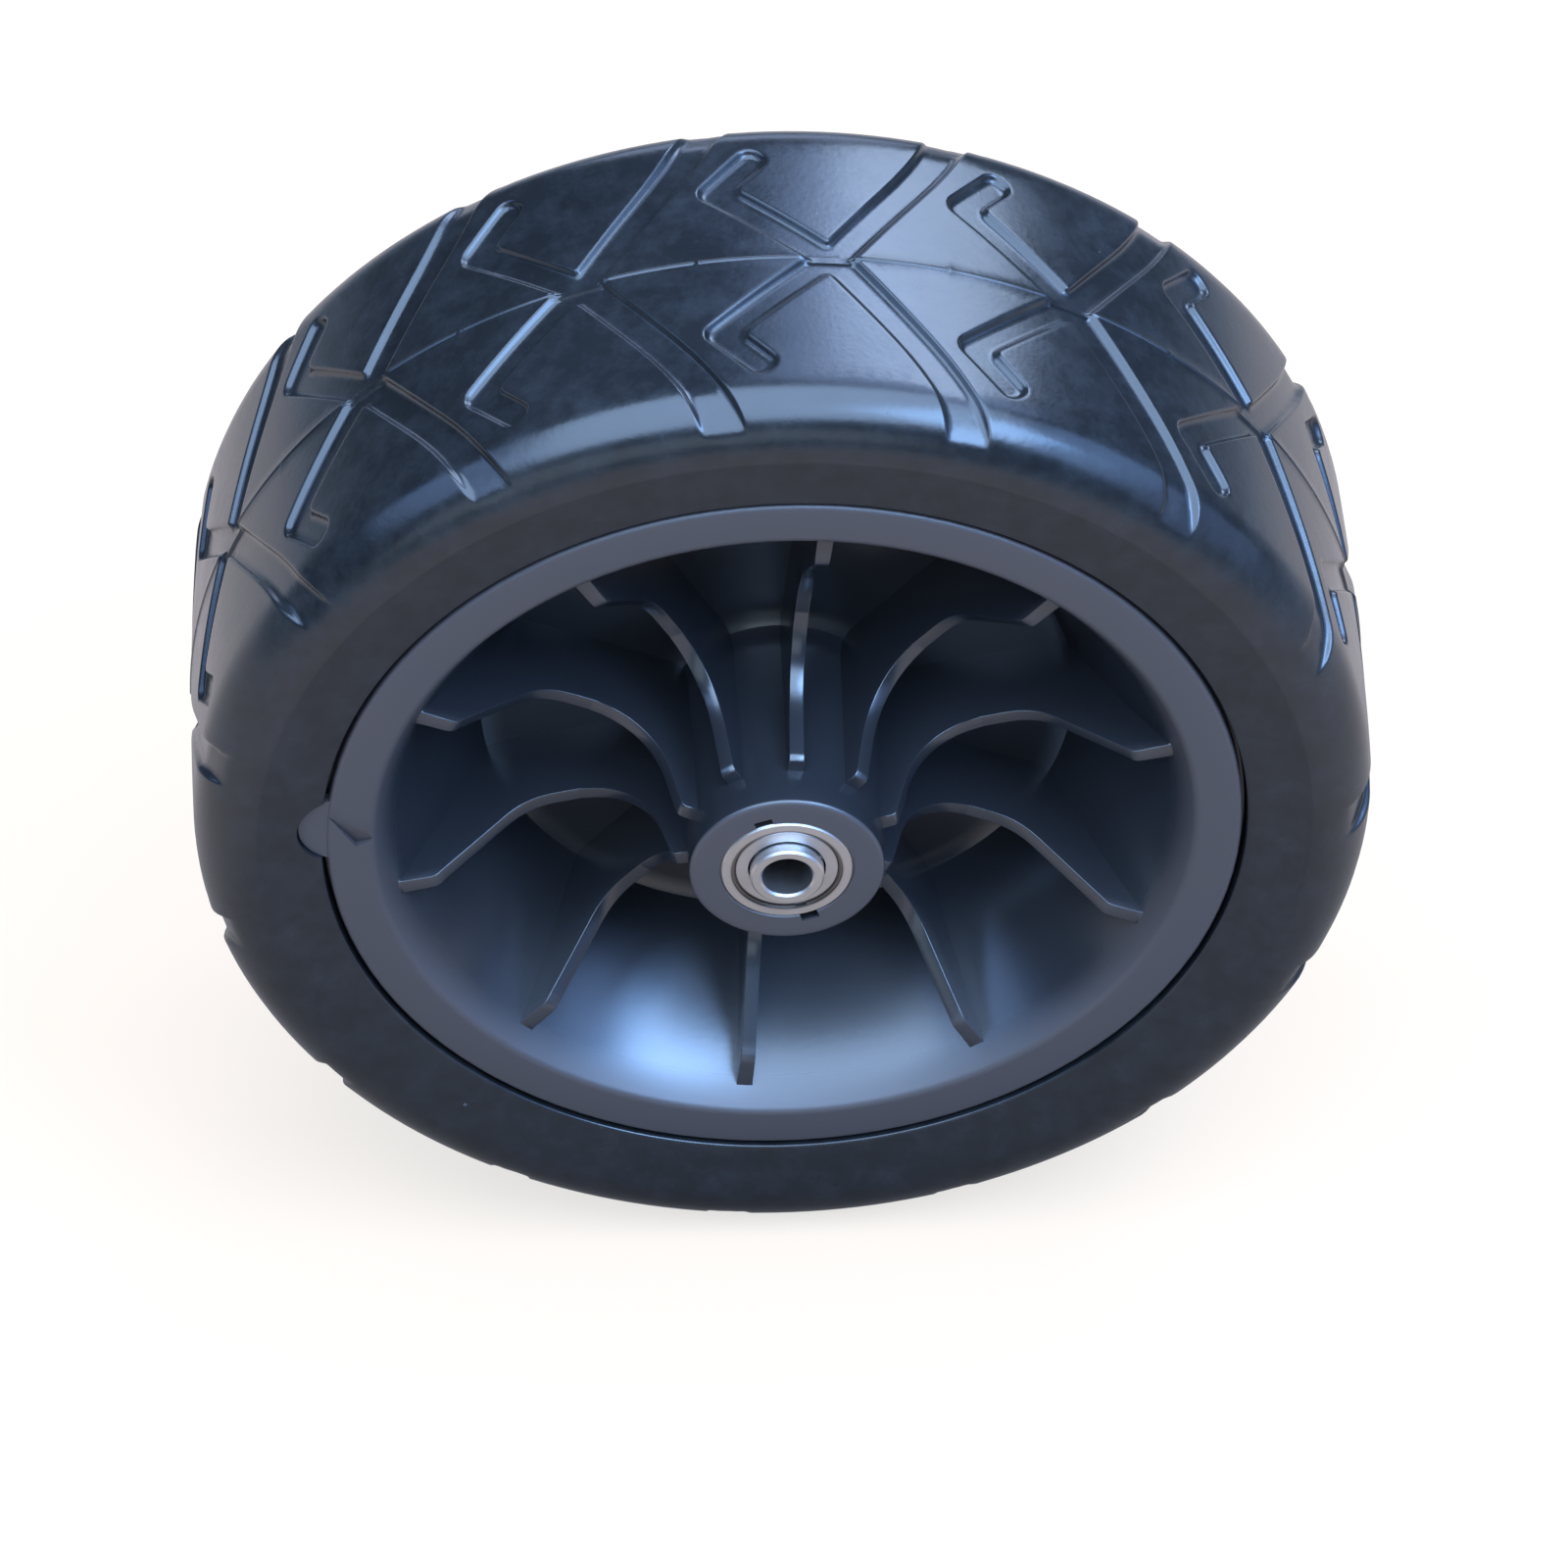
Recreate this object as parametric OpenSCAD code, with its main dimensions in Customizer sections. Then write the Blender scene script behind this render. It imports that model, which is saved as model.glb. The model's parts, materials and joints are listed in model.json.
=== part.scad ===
// Garden machine wheel: a solid polyurethane tyre on a vaned plastic hub with two ball bearings.
// The wheel stands upright and spins about the Y axis. Its front face looks along -Y.
// Each piece is drawn with its axle along Z and its front upwards, and on_axle() lays it down.

/* [Tyre] */
// Diameter over the tread
tyre_d = 232; // [226:1:250]
// Width over the two shoulders
tyre_w = 86; // [84:0.2:100]
// How much lower the tread is at its shoulders than at its middle, each side
crown_drop = 1.3; // [0.5:0.1:3]
// Radius of the rounded shoulder
shoulder_r = 11; // [8:0.5:13]
// Height of the mould line round the middle of the tread
line_h = 0.25; // [0.1:0.05:0.5]
// Width of the mould line
line_w = 0.8; // [0.4:0.1:2]
// How far the sidewall falls back from the shoulder to the bead
sidewall_fall = 2; // [0.5:0.1:3]
// Width of the flat strip of sidewall inside the rounded shoulder
side_flat = 1; // [0.5:0.1:4]
// Radius between that strip and the sidewall
side_r = 3; // [1:0.5:4]
// Radius of the rounded bead
bead_r = 2.6; // [1:0.1:3]
// Open gap between the bead and the edge of the rim
bead_gap = 0.9; // [0.4:0.1:2]
// Width of the strip where the bead grips the edge of the rim
bead_grip = 1.2; // [0.6:0.1:2]

/* [Tread] */
// Times that the tread pattern repeats round the tyre
tread_repeats = 15; // [12:1:15]
// Depth of the grooves
groove_depth = 1.4; // [0.6:0.1:2.4]
// Angle round the shoulder where a groove starts to get shallower
fade_from = 30; // [15:1:40]
// Angle round the shoulder where a groove ends
fade_to = 58; // [50:1:65]
// Angle from the top of the wheel, clockwise, to the first meeting of the grooves
tread_turn = 2.5; // [0:0.5:24]
// Length along the middle of the tread where the grooves of the two halves meet
meet_len = 9.5; // [7:0.1:10]
// Width of the hooked groove
hook_w = 6.2; // [4:0.1:7]
// Length of the hook's first leg along its outer edge
hook_leg = 28.5; // [22:0.5:30]
// Angle of the hook's first leg to the middle line
hook_angle = 42.6; // [40:0.1:48]
// Radius of the hook's outer corner
hook_out_r = 3; // [1:0.1:4]
// Radius of the hook's inner corner
hook_in_r = 1.5; // [0.5:0.1:3]
// Length of the hook's second leg
hook_tip = 16.8; // [12:0.2:18]
// Angle of the hook's second leg to the middle line
tip_angle = 49.5; // [45:0.5:55]
// Width of the long groove, along the tread
long_w = 8.2; // [6:0.1:9]
// Lean of the long groove from straight across
long_lean = 35.5; // [28:0.5:38]
// Distance from the middle line where the long groove starts to bend
bend_from = 20; // [16:1:26]
// How fast the long groove bends
bend_rate = 0.008; // [0.003:0.0005:0.01]
// Distance from the middle line where the long groove starts to widen
widen_from = 32; // [24:1:36]
// How much each edge of the long groove moves out per millimetre beyond that
widen_rate = 0.04; // [0.01:0.01:0.08]

/* [Rim] */
// Width of the rim over its two ring faces
rim_w = 81.6; // [78:0.2:83]
// Diameter of the rim's edge
flange_d = 178.8; // [170:0.2:184]
// Thickness of the rim's edge
flange_t = 4.8; // [3:0.1:7]
// Width of the flat ring face
ring_w = 9.1; // [7:0.1:10]
// Radius of the ring face's outer edge
ring_edge_r = 0.9; // [0.3:0.1:1.5]
// Radius of the ring face's inner edge
ring_lip_r = 1.4; // [0.5:0.1:2.5]
// Diameter of the dish's floor
floor_d = 117; // [106:1:124]
// Thickness of the dish's wall
wall = 4; // [2.5:0.1:5]
// Thickness of the web in the middle
web = 5; // [3:0.2:8]
// Radius between the web and the dish's wall
floor_r = 7; // [3:0.5:9]

/* [Vanes] */
// Number of vanes on each side
vane_count = 10; // [6:1:12]
// Thickness of a vane
vane_t = 3.2; // [2:0.1:5]
// Angle from the top of the wheel, clockwise, to the first vane
vane_turn = 5.7; // [0:0.1:36]
// How far the vane's outer end lies behind the ring face
vane_step = 4.6; // [3:0.1:7]
// Length of the vane's flat outer end
land_w = 7.5; // [5:0.1:9]
// Height of the vane's valley over the middle of the wheel
valley_h = 19.4; // [16:0.2:24]
// Slope of the vane's edge from its outer end down to the valley
slope_angle = 42; // [38:1:50]
// Lean of the vane's edge where it climbs beside the boss
climb_lean = 15; // [10:0.5:17]
// How far the vane's foot lies behind the boss face
foot_drop = 8.3; // [6:0.1:12]
// Length of the vane's flat foot on the boss
foot_w = 3.1; // [2:0.1:4]
// Radius at the edge of the foot
foot_r = 1.2; // [0.5:0.1:2]
// Radius at the inner side of the valley
valley_in_r = 17; // [10:1:18]
// Radius at the outer side of the valley
valley_out_r = 14; // [8:1:16]
// Radius at the vane's outer corner
land_r = 4; // [2:0.5:6]

/* [Boss] */
// Length of the hub over its two boss faces
hub_len = 100; // [96:0.5:110]
// Diameter of the boss at its face
boss_d = 38.1; // [35:0.1:42]
// Draft of the boss, in degrees
boss_draft = 1.5; // [0.5:0.1:3]
// Edge chamfer of the boss
boss_chamfer = 0.8; // [0.3:0.1:1.5]
// Radius between the web and the boss
boss_root_r = 4; // [2:0.5:6]
// Radial wall of the shoulder that stops the bearing
seat_step = 2; // [1.2:0.1:3]
// Width of a puller notch
notch_w = 3.6; // [2.5:0.1:5]
// Reach of a puller notch outside the bearing
notch_reach = 1.7; // [1:0.1:2.5]
// Depth of a puller notch
notch_depth = 2.5; // [1.5:0.1:4]
// Angle of the notches from upright, clockwise
notch_turn = -19; // [-90:1:90]

/* [Gate lug] */
// Radius of the half-round lug on the rim's edge
lug_r = 8; // [6:0.5:9]
// How far the lug reaches over the bead
lug_reach = 5.4; // [3:0.1:6]
// Thickness of the lug
lug_t = 2.4; // [1.5:0.1:4]
// How far the lug lies under the ring face
lug_sink = 0.4; // [0.2:0.1:1]
// Angle from the top of the wheel, clockwise, to the lug
lug_turn = -86.8; // [-180:0.1:180]
// Play of the lug in its pocket in the tyre
lug_play = 0.3; // [0.15:0.05:0.6]
// Depth of the scooped notch in the ring face beside the lug
scoop_depth = 1.5; // [0.8:0.1:2.5]
// Length of the scooped notch
scoop_len = 9.6; // [6:0.2:12]
// Width of the scooped notch
scoop_w = 5; // [3:0.2:7]
// Angle from the lug's middle, clockwise, to the start of the scooped notch
scoop_turn = 3; // [0:0.5:5]
// How far outside the rim's edge the scooped notch starts
scoop_start = 0.4; // [0.1:0.1:1]
// Angle between the notch's straight wall and the radius
scoop_lean = 56; // [40:1:70]

/* [Bearings] */
// Axle diameter that the bearings take
bore_d = 10; // [8:0.1:10.4]
// Outer diameter of a bearing
bearing_d = 26; // [25.6:0.1:27]
// Width of a bearing's outer ring
bearing_w = 8; // [7.8:0.1:9]
// How far the inner ring stands proud of the outer ring
ring_proud = 2; // [1:0.1:4]
// Number of balls in a bearing
ball_count = 7; // [6:1:7]
// Diameter of a ball
ball_d = 4.763; // [4.5:0.001:4.8]
// Diameter of the circle through the ball centres
pitch_d = 18; // [17.8:0.1:18.2]
// Radial width of the inner ring's wall
inner_wall = 2.2; // [2:0.05:2.3]
// Radial width of the outer ring's wall
outer_wall = 2.1; // [2:0.05:2.3]
// Radius of a raceway's section, in radii of the ball
race_fit = 1.04; // [1.02:0.01:1.06]
// Edge chamfer of the bearing rings
ring_chamfer = 0.4; // [0.2:0.05:0.6]
// Gap between a shield and the inner ring
shield_gap = 0.4; // [0.2:0.05:0.5]
// Thickness of a shield
shield_t = 0.25; // [0.2:0.05:0.3]
// How far the middle of a shield is pressed outwards
shield_rise = 0.3; // [0.1:0.05:0.35]
// Width of a shield's flat rim inside the outer ring
shield_rim = 0.7; // [0.4:0.05:0.9]
// Depth of the groove that holds the shield and its snap ring
clip_groove = 0.5; // [0.4:0.05:0.7]
// Axial thickness of a snap ring
clip_t = 0.4; // [0.3:0.05:0.5]
// Radial width of a snap ring
clip_w = 0.95; // [0.7:0.05:1.1]
// Lip of the outer ring outside the snap ring
clip_lip = 0.4; // [0.3:0.05:0.5]
// Angle of the snap ring's gap from the top, clockwise
clip_turn = 165; // [0:1:359]
// Opening of the snap ring's gap, in degrees
clip_gap = 12; // [6:1:30]
// Thickness of the cage's sheet
cage_t = 0.3; // [0.2:0.05:0.35]
// Radial width of the cage's ribbon
cage_w = 1.6; // [1.2:0.1:2]
// Radius of a cage rivet
rivet_r = 0.4; // [0.3:0.05:0.5]
// Radius of a rivet's head
head_r = 0.64; // [0.55:0.01:0.7]
// Thickness of a rivet's head
head_t = 0.24; // [0.15:0.01:0.3]

/* [Spacer] */
// Wall of the tube between the two inner rings
spacer_wall = 2; // [1.5:0.1:2.1]

/* [Play] */
// Running play of a ball against each raceway
ball_play = 0.03; // [0.02:0.01:0.06]
// Play of a ball in its cage pocket
pocket_play = 0.1; // [0.05:0.01:0.12]
// Radial play of shields and snap rings in their groove
clip_play = 0.05; // [0.02:0.01:0.1]
// Radial play of the axle in the spacer tube
spacer_play = 0.15; // [0.1:0.05:0.4]
// Play of a rivet in the cage's hole
rivet_play = 0.02; // [0.01:0.01:0.05]

/* [Hidden] */
$fn = 96;

tyre_colour = [0.09, 0.09, 0.10];
hub_colour = [0.13, 0.14, 0.16];
steel_colour = [0.75, 0.73, 0.70];
sheet_colour = [0.62, 0.61, 0.60];
front = 1;
rear = -1;
over = 1; // how far a cutter passes the surface that it cuts
body_steps = 180; // sides of the large turned forms' meshes
rivet_steps = 24; // sides of a rivet's mesh
bend_steps = 5; // straight pieces of each edge of a long groove, from its bend on
wrap_mid = 8; // place along the tread that a groove's cutter is set square to

// Rim and dish
ring_h = rim_w / 2;
flange_r = flange_d / 2;
ring_in_r = flange_r - ring_w;
seat_h = ring_h - flange_t;
web_h = web / 2;
dish_slope = (ring_in_r - floor_d / 2) / (ring_h - web_h);
wall_out = wall * sqrt(1 + dish_slope * dish_slope);
well_r = dish_r(web_h) + wall_out;

// Boss
boss_h = hub_len / 2;
seat_r = bearing_d / 2;
passage_r = seat_r - seat_step;

// Vanes
land_h = ring_h - vane_step;
land_in_r = dish_r(land_h) - land_w;
valley_out = land_in_r - (land_h - valley_h) / tan(slope_angle);
foot_h = boss_h - foot_drop;
foot_out_r = boss_r(foot_h) + foot_w;
valley_in = foot_out_r + (foot_h - valley_h) * tan(climb_lean);
vane_root_r = (boss_d / 2 + seat_r) / 2;

// Tyre
tyre_r = tyre_d / 2;
shoulder_h = tyre_w / 2;
shoulder_corner_r = tyre_r - crown_drop;
gap_r = flange_r + bead_gap;
bead_h = shoulder_h - sidewall_fall;
grip_h = seat_h + bead_grip;
shoulder_low_h = shoulder_h - shoulder_r;
shoulder_mid_r = crown_r(shoulder_low_h) - shoulder_r;
cutter_reach = 3 * shoulder_r; // how deep a groove's cutter reaches into the tyre
hook_end_r = 0.45 * hook_w; // nearly half the hook's width, so that its end is almost round

// Bearing, measured from the middle of its outer ring
bearing_h = boss_h - bearing_w / 2;
half_w = bearing_w / 2;
ball_r = ball_d / 2;
pitch_r = pitch_d / 2;
race_r = ball_r * race_fit;
inner_r = bore_d / 2;
inner_land_r = inner_r + inner_wall;
outer_land_r = seat_r - outer_wall;
clip_groove_r = outer_land_r + clip_groove;
clip_out_r = clip_groove_r - clip_play;
clip_top = half_w - clip_lip;
clip_bottom = clip_top - clip_t;
shield_bottom = clip_bottom - shield_t;
shield_in_r = inner_land_r + shield_gap;
pocket_r = ball_r + pocket_play;
spacer_r = inner_r + spacer_play;

// Radius of the dish's wall at a height over the middle of the wheel
function dish_r(h) = floor_d / 2 + (h - web_h) * dish_slope;
// Radius of the boss at a height over the middle of the wheel
function boss_r(h) = boss_d / 2 + (boss_h - h) * tan(boss_draft);
// Radius of the tread at a height over the middle of the wheel
function crown_r(h) =
    tyre_r - line_h - (crown_drop - line_h) * (h - line_w / 2) / (shoulder_h - line_w / 2);
function unit(v) = v / norm(v);
function polar(r, a) = r * [cos(a), sin(a)];
// Angle in the drawing of an angle measured clockwise from the top of the wheel
function clock(turn) = 90 - turn;
// Points of the arc of radius r that rounds the corner b between a and c
function arc_at(a, b, c, r, steps = 6) =
    let (
        u = unit(a - b),
        v = unit(c - b),
        half = acos(u * v) / 2,
        centre = b + unit(u + v) * r / sin(half),
        p = b + u * r / tan(half) - centre,
        q = b + v * r / tan(half) - centre,
        start = atan2(p[1], p[0]),
        turn = (atan2(q[1], q[0]) - start + 540) % 360 - 180
    )
    [for (i = [0 : steps]) centre + polar(r, start + turn * i / steps)];
// A path whose corners are rounded with the radius that each point brings as its third number
function rounded(path) = [
    for (i = [0 : len(path) - 1])
        let (
            b = [path[i][0], path[i][1]],
            a = i > 0 ? [path[i - 1][0], path[i - 1][1]] : b,
            c = i < len(path) - 1 ? [path[i + 1][0], path[i + 1][1]] : b
        )
        each (path[i][2] > 0 ? arc_at(a, b, c, path[i][2]) : [b])
];
// A half outline with its mirror image below the middle plane
function both_halves(half) = concat(half, [for (i = [len(half) - 1 : -1 : 0]) [half[i][0], -half[i][1]]]);

module on_axle() {
    rotate([90, 0, 0]) children();
}

module revolved(points) {
    rotate_extrude($fn = body_steps) polygon(points);
}

// Turns a flat outline, drawn as radius and height, to stand on a radial plane
module on_radius(angle, thickness) {
    rotate([0, 0, angle]) rotate([90, 0, 0]) linear_extrude(thickness, center = true) children();
}

// TYRE

// The faces where tyre and rim touch, from the well to the edge of the rim
function rim_contact() = [[well_r, web_h, 0], [dish_r(seat_h) + wall_out, seat_h, 0], [flange_r, seat_h, 0]];

module tyre_body() {
    half = rounded(concat(rim_contact(), [
        [flange_r, grip_h, 0],
        [gap_r, grip_h, 0],
        [gap_r, bead_h, bead_r],
        [shoulder_corner_r - shoulder_r - side_flat, shoulder_h, side_r],
        [shoulder_corner_r, shoulder_h, shoulder_r],
        [tyre_r - line_h, line_w / 2, 0],
        [tyre_r, 0, 0]
    ]));
    revolved(concat(half, [for (i = [len(half) - 2 : -1 : 0]) [half[i][0], -half[i][1]]]));
}

// Middle of the long groove at a height over the middle line, along the tread
function long_mid(h) =
    meet_len - long_w / 2 + h * tan(long_lean) - bend_rate * pow(max(0, h - bend_from), 2);
// Half of the long groove's width, which grows towards the shoulder
function long_half(h) = long_w / 2 + widen_rate * max(0, h - widen_from);
// Heights at which the long groove's edges get a point, from the bend to beyond the shoulder
long_heights = [for (k = [0 : bend_steps]) bend_from + (shoulder_h + over - bend_from) * k / bend_steps];

hook_dir = [-cos(hook_angle), sin(hook_angle)];
tip_dir = [cos(tip_angle), sin(tip_angle)];
hook_in = [sin(hook_angle), cos(hook_angle)];
tip_in = [sin(tip_angle), -cos(tip_angle)];
hook_corner = hook_leg * hook_dir;
// The hook's inner corner lies one groove width inside both of its outer edges
hook_middle = unit(hook_in + tip_in);
hook_inner = hook_corner + hook_w / (hook_middle * hook_in) * hook_middle;
tip_end = hook_corner + hook_tip * tip_dir;
// Where the inner edge of the hook meets the near edge of the long groove
fork_t = (meet_len - long_w + hook_w * (cos(hook_angle) * tan(long_lean) - sin(hook_angle)))
    / (cos(hook_angle) + sin(hook_angle) * tan(long_lean));
fork = hook_w * hook_in - fork_t * hook_dir;

// One half of the pattern, along the tread and across it, from the middle line to the shoulder
function groove_outline() = concat(
    [[meet_len, -over], [0, -over], [0, 0]],
    rounded([
        [0, 0, 0],
        [hook_corner[0], hook_corner[1], hook_out_r],
        [tip_end[0], tip_end[1], hook_end_r],
        [tip_end[0] + hook_w * tip_in[0], tip_end[1] + hook_w * tip_in[1], hook_end_r],
        [hook_inner[0], hook_inner[1], hook_in_r],
        [fork[0], fork[1], 0]
    ]),
    [for (h = long_heights) [long_mid(h) - long_half(h), h]],
    [for (k = [bend_steps : -1 : 0]) let (h = long_heights[k]) [long_mid(h) + long_half(h), h]],
    [[meet_len, 0]]
);

// The outline wrapped on the tread, seen along the radius through its middle
function wrapped(p) = [-tyre_r * sin((p[0] - wrap_mid) / tyre_r * 180 / PI), p[1]];

module groove(k) {
    angle = clock(tread_turn + k * 360 / tread_repeats + wrap_mid / tyre_r * 180 / PI);
    rotate([0, 0, angle]) rotate([90, 0, 90]) translate([0, 0, tyre_r - cutter_reach])
        linear_extrude(cutter_reach + over) polygon([for (p = groove_outline()) wrapped(p)]);
}

// The layer of the tyre that the grooves take away: its floor follows the mould line and the tread,
// goes some way round the shoulder and then comes out
module groove_layer() {
    shoulder_mid = [shoulder_mid_r, shoulder_low_h];
    fade_start = shoulder_mid + polar(shoulder_r - groove_depth, fade_from);
    fade_end = shoulder_mid + polar(shoulder_r, fade_to);
    beyond = fade_end + over * unit(fade_end - fade_start);
    revolved([
        [tyre_r - groove_depth, -over],
        [tyre_r - groove_depth, 0],
        [tyre_r - line_h - groove_depth, line_w / 2],
        [crown_r(shoulder_low_h) - groove_depth, shoulder_low_h],
        fade_start,
        beyond,
        [tyre_r + over, beyond[1]],
        [tyre_r + over, -over]
    ]);
}

// Disc of the lug, grown by some play
module lug_disc(play, bottom, top) {
    place = polar(flange_r + lug_reach - lug_r, clock(lug_turn));
    translate([place[0], place[1], bottom]) cylinder(r = lug_r + play, h = top - bottom);
}

module tyre() {
    color(tyre_colour) on_axle() difference() {
        tyre_body();
        for (side = [0, 1])
            mirror([0, 0, side]) intersection() {
                groove_layer();
                for (k = [0 : tread_repeats - 1]) groove(k);
            }
        lug_disc(lug_play, ring_h - lug_sink - lug_t - lug_play, shoulder_h + over);
    }
}

// HUB

module hub_body() {
    half = rounded(concat(rim_contact(), [
        [flange_r, ring_h, ring_edge_r],
        [ring_in_r, ring_h, ring_lip_r],
        [dish_r(web_h), web_h, floor_r],
        [boss_r(web_h), web_h, boss_root_r],
        [boss_d / 2, boss_h - boss_chamfer, 0],
        [boss_d / 2 - boss_chamfer, boss_h, 0],
        [passage_r, boss_h, 0]
    ]));
    revolved(both_halves(half));
}

// Outline of a vane on its radial plane, with its edges sunk into the web, the wall and the boss
module vane_outline() {
    wall_mid = wall_out / 2;
    polygon(rounded([
        [vane_root_r, 0, 0],
        [dish_r(web_h) + wall_mid, 0, 0],
        [dish_r(land_h) + wall_mid, land_h, 0],
        [land_in_r, land_h, land_r],
        [valley_out, valley_h, valley_out_r],
        [valley_in, valley_h, valley_in_r],
        [foot_out_r, foot_h, foot_r],
        [vane_root_r, foot_h, 0]
    ]));
}

// The lug grows out of the ring's outer half and keeps clear of the dish
module lug() {
    difference() {
        lug_disc(0, ring_h - lug_sink - lug_t, ring_h - lug_sink);
        cylinder(r = flange_r - ring_w / 2, h = ring_h);
    }
}

// A ramp cut in the ring face, deepest where its straight wall ends
module scoop() {
    start = polar(flange_r + scoop_start, clock(lug_turn + scoop_turn));
    run_angle = atan(scoop_depth / scoop_len);
    side_angle = atan(scoop_depth / scoop_w);
    translate([start[0], start[1], ring_h]) rotate([0, 0, clock(lug_turn) + 180 - scoop_lean])
        intersection() {
            translate([0, 0, -scoop_depth - over])
                cube([scoop_len, scoop_w, scoop_depth + 2 * over]);
            rotate([side_angle, run_angle, 0])
                translate([-scoop_len, -scoop_w, 0]) cube([3 * scoop_len, 3 * scoop_w, 4 * scoop_depth]);
        }
}

module bearing_seat() {
    translate([0, 0, boss_h - bearing_w]) cylinder(r = seat_r, h = bearing_w + over);
    for (turn = [0, 180])
        rotate([0, 0, clock(notch_turn + turn)])
            translate([seat_r - over, -notch_w / 2, boss_h - notch_depth])
                cube([notch_reach + over, notch_w, notch_depth + over]);
}

module hub() {
    color(hub_colour) on_axle() difference() {
        union() {
            hub_body();
            for (side = [0, 1], k = [0 : vane_count - 1])
                mirror([0, 0, side]) on_radius(clock(vane_turn + k * 360 / vane_count), vane_t) vane_outline();
            lug();
        }
        for (side = [0, 1]) mirror([0, 0, side]) bearing_seat();
        scoop();
    }
}

// BEARINGS

// Places a bearing part in its seat, with +Z pointing out of the wheel
module at_bearing(side) {
    on_axle() mirror([0, 0, side < 0 ? 1 : 0]) translate([0, 0, bearing_h]) children();
}

module on_each_ball() {
    for (k = [0 : ball_count - 1]) rotate([0, 0, k * 360 / ball_count]) translate([pitch_r, 0, 0]) children();
}

module between_balls() {
    for (k = [0 : ball_count - 1])
        rotate([0, 0, (k + 0.5) * 360 / ball_count]) translate([pitch_r, 0, 0]) children();
}

module outer_ring(side) {
    color(steel_colour) at_bearing(side) rotate_extrude() difference() {
        polygon(both_halves([
            [seat_r, 0],
            [seat_r, half_w - ring_chamfer],
            [seat_r - ring_chamfer, half_w],
            [outer_land_r, half_w],
            [outer_land_r, clip_top],
            [clip_groove_r, clip_top],
            [clip_groove_r, shield_bottom],
            [outer_land_r, shield_bottom],
            [outer_land_r, 0]
        ]));
        translate([pitch_r + ball_r + ball_play - race_r, 0]) circle(r = race_r);
    }
}

module inner_ring(side) {
    color(steel_colour) at_bearing(side) rotate_extrude() difference() {
        polygon([
            [inner_r, -half_w + ring_chamfer / 2],
            [inner_r + ring_chamfer / 2, -half_w],
            [inner_land_r - ring_chamfer / 2, -half_w],
            [inner_land_r, -half_w + ring_chamfer / 2],
            [inner_land_r, half_w + ring_proud - ring_chamfer],
            [inner_land_r - ring_chamfer, half_w + ring_proud],
            [inner_r + ring_chamfer, half_w + ring_proud],
            [inner_r, half_w + ring_proud - ring_chamfer]
        ]);
        translate([pitch_r - ball_r - ball_play + race_r, 0]) circle(r = race_r);
    }
}

module balls(side) {
    color(steel_colour) at_bearing(side) on_each_ball() sphere(r = ball_r);
}

// One pressed half of the ribbon cage, on the side that out gives: 1 outwards, 0 inwards
module cage_half(side, out) {
    color(sheet_colour) at_bearing(side) mirror([0, 0, 1 - out]) difference() {
        intersection() {
            difference() {
                cylinder(r = pitch_r + cage_w / 2, h = pocket_r + cage_t);
                translate([0, 0, -over]) cylinder(r = pitch_r - cage_w / 2, h = pocket_r + cage_t + 2 * over);
            }
            union() {
                cylinder(r = pitch_r + cage_w, h = cage_t);
                on_each_ball() sphere(r = pocket_r + cage_t);
            }
        }
        on_each_ball() sphere(r = pocket_r);
        between_balls() translate([0, 0, -over])
            cylinder(r = rivet_r + rivet_play, h = cage_t + 2 * over, $fn = rivet_steps);
    }
}

module cage_rivets(side) {
    color(sheet_colour) at_bearing(side) between_balls() {
        translate([0, 0, -cage_t]) cylinder(r = rivet_r, h = 2 * cage_t, $fn = rivet_steps);
        translate([0, 0, cage_t]) cylinder(r = head_r, h = head_t, $fn = rivet_steps);
        translate([0, 0, -cage_t - head_t]) cylinder(r = head_r, h = head_t, $fn = rivet_steps);
    }
}

// A pressed shield: its rim sits in the groove and its middle stands outwards
module shield(side, out) {
    rim_in = outer_land_r - shield_rim;
    color(sheet_colour) at_bearing(side) mirror([0, 0, 1 - out]) rotate_extrude() polygon([
        [shield_in_r, shield_bottom + shield_rise],
        [rim_in - shield_rise, shield_bottom + shield_rise],
        [rim_in, shield_bottom],
        [clip_out_r, shield_bottom],
        [clip_out_r, clip_bottom],
        [rim_in, clip_bottom],
        [rim_in - shield_rise, clip_bottom + shield_rise],
        [shield_in_r, clip_bottom + shield_rise]
    ]);
}

module snap_ring(side, out) {
    start = clock(clip_turn) + clip_gap / 2;
    color(steel_colour) at_bearing(side) mirror([0, 0, 1 - out]) rotate([0, 0, start])
        rotate_extrude(angle = 360 - clip_gap) translate([clip_out_r - clip_w, clip_bottom])
            square([clip_w, clip_t]);
}

module spacer_tube() {
    color(steel_colour) on_axle() difference() {
        cylinder(r = spacer_r + spacer_wall, h = hub_len - 2 * bearing_w, center = true);
        cylinder(r = spacer_r, h = hub_len, center = true);
    }
}

tyre();
hub();
spacer_tube();
outer_ring(front);  // front_outer_ring
inner_ring(front);  // front_inner_ring
balls(front);  // front_balls
cage_half(front, 1);  // front_cage_outer_half
cage_half(front, 0);  // front_cage_inner_half
cage_rivets(front);  // front_cage_rivets
shield(front, 1);  // front_outer_shield
shield(front, 0);  // front_inner_shield
snap_ring(front, 1);  // front_outer_snap_ring
snap_ring(front, 0);  // front_inner_snap_ring
outer_ring(rear);  // rear_outer_ring
inner_ring(rear);  // rear_inner_ring
balls(rear);  // rear_balls
cage_half(rear, 1);  // rear_cage_outer_half
cage_half(rear, 0);  // rear_cage_inner_half
cage_rivets(rear);  // rear_cage_rivets
shield(rear, 1);  // rear_outer_shield
shield(rear, 0);  // rear_inner_shield
snap_ring(rear, 1);  // rear_outer_snap_ring
snap_ring(rear, 0);  // rear_inner_snap_ring
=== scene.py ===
import json
import math

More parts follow.
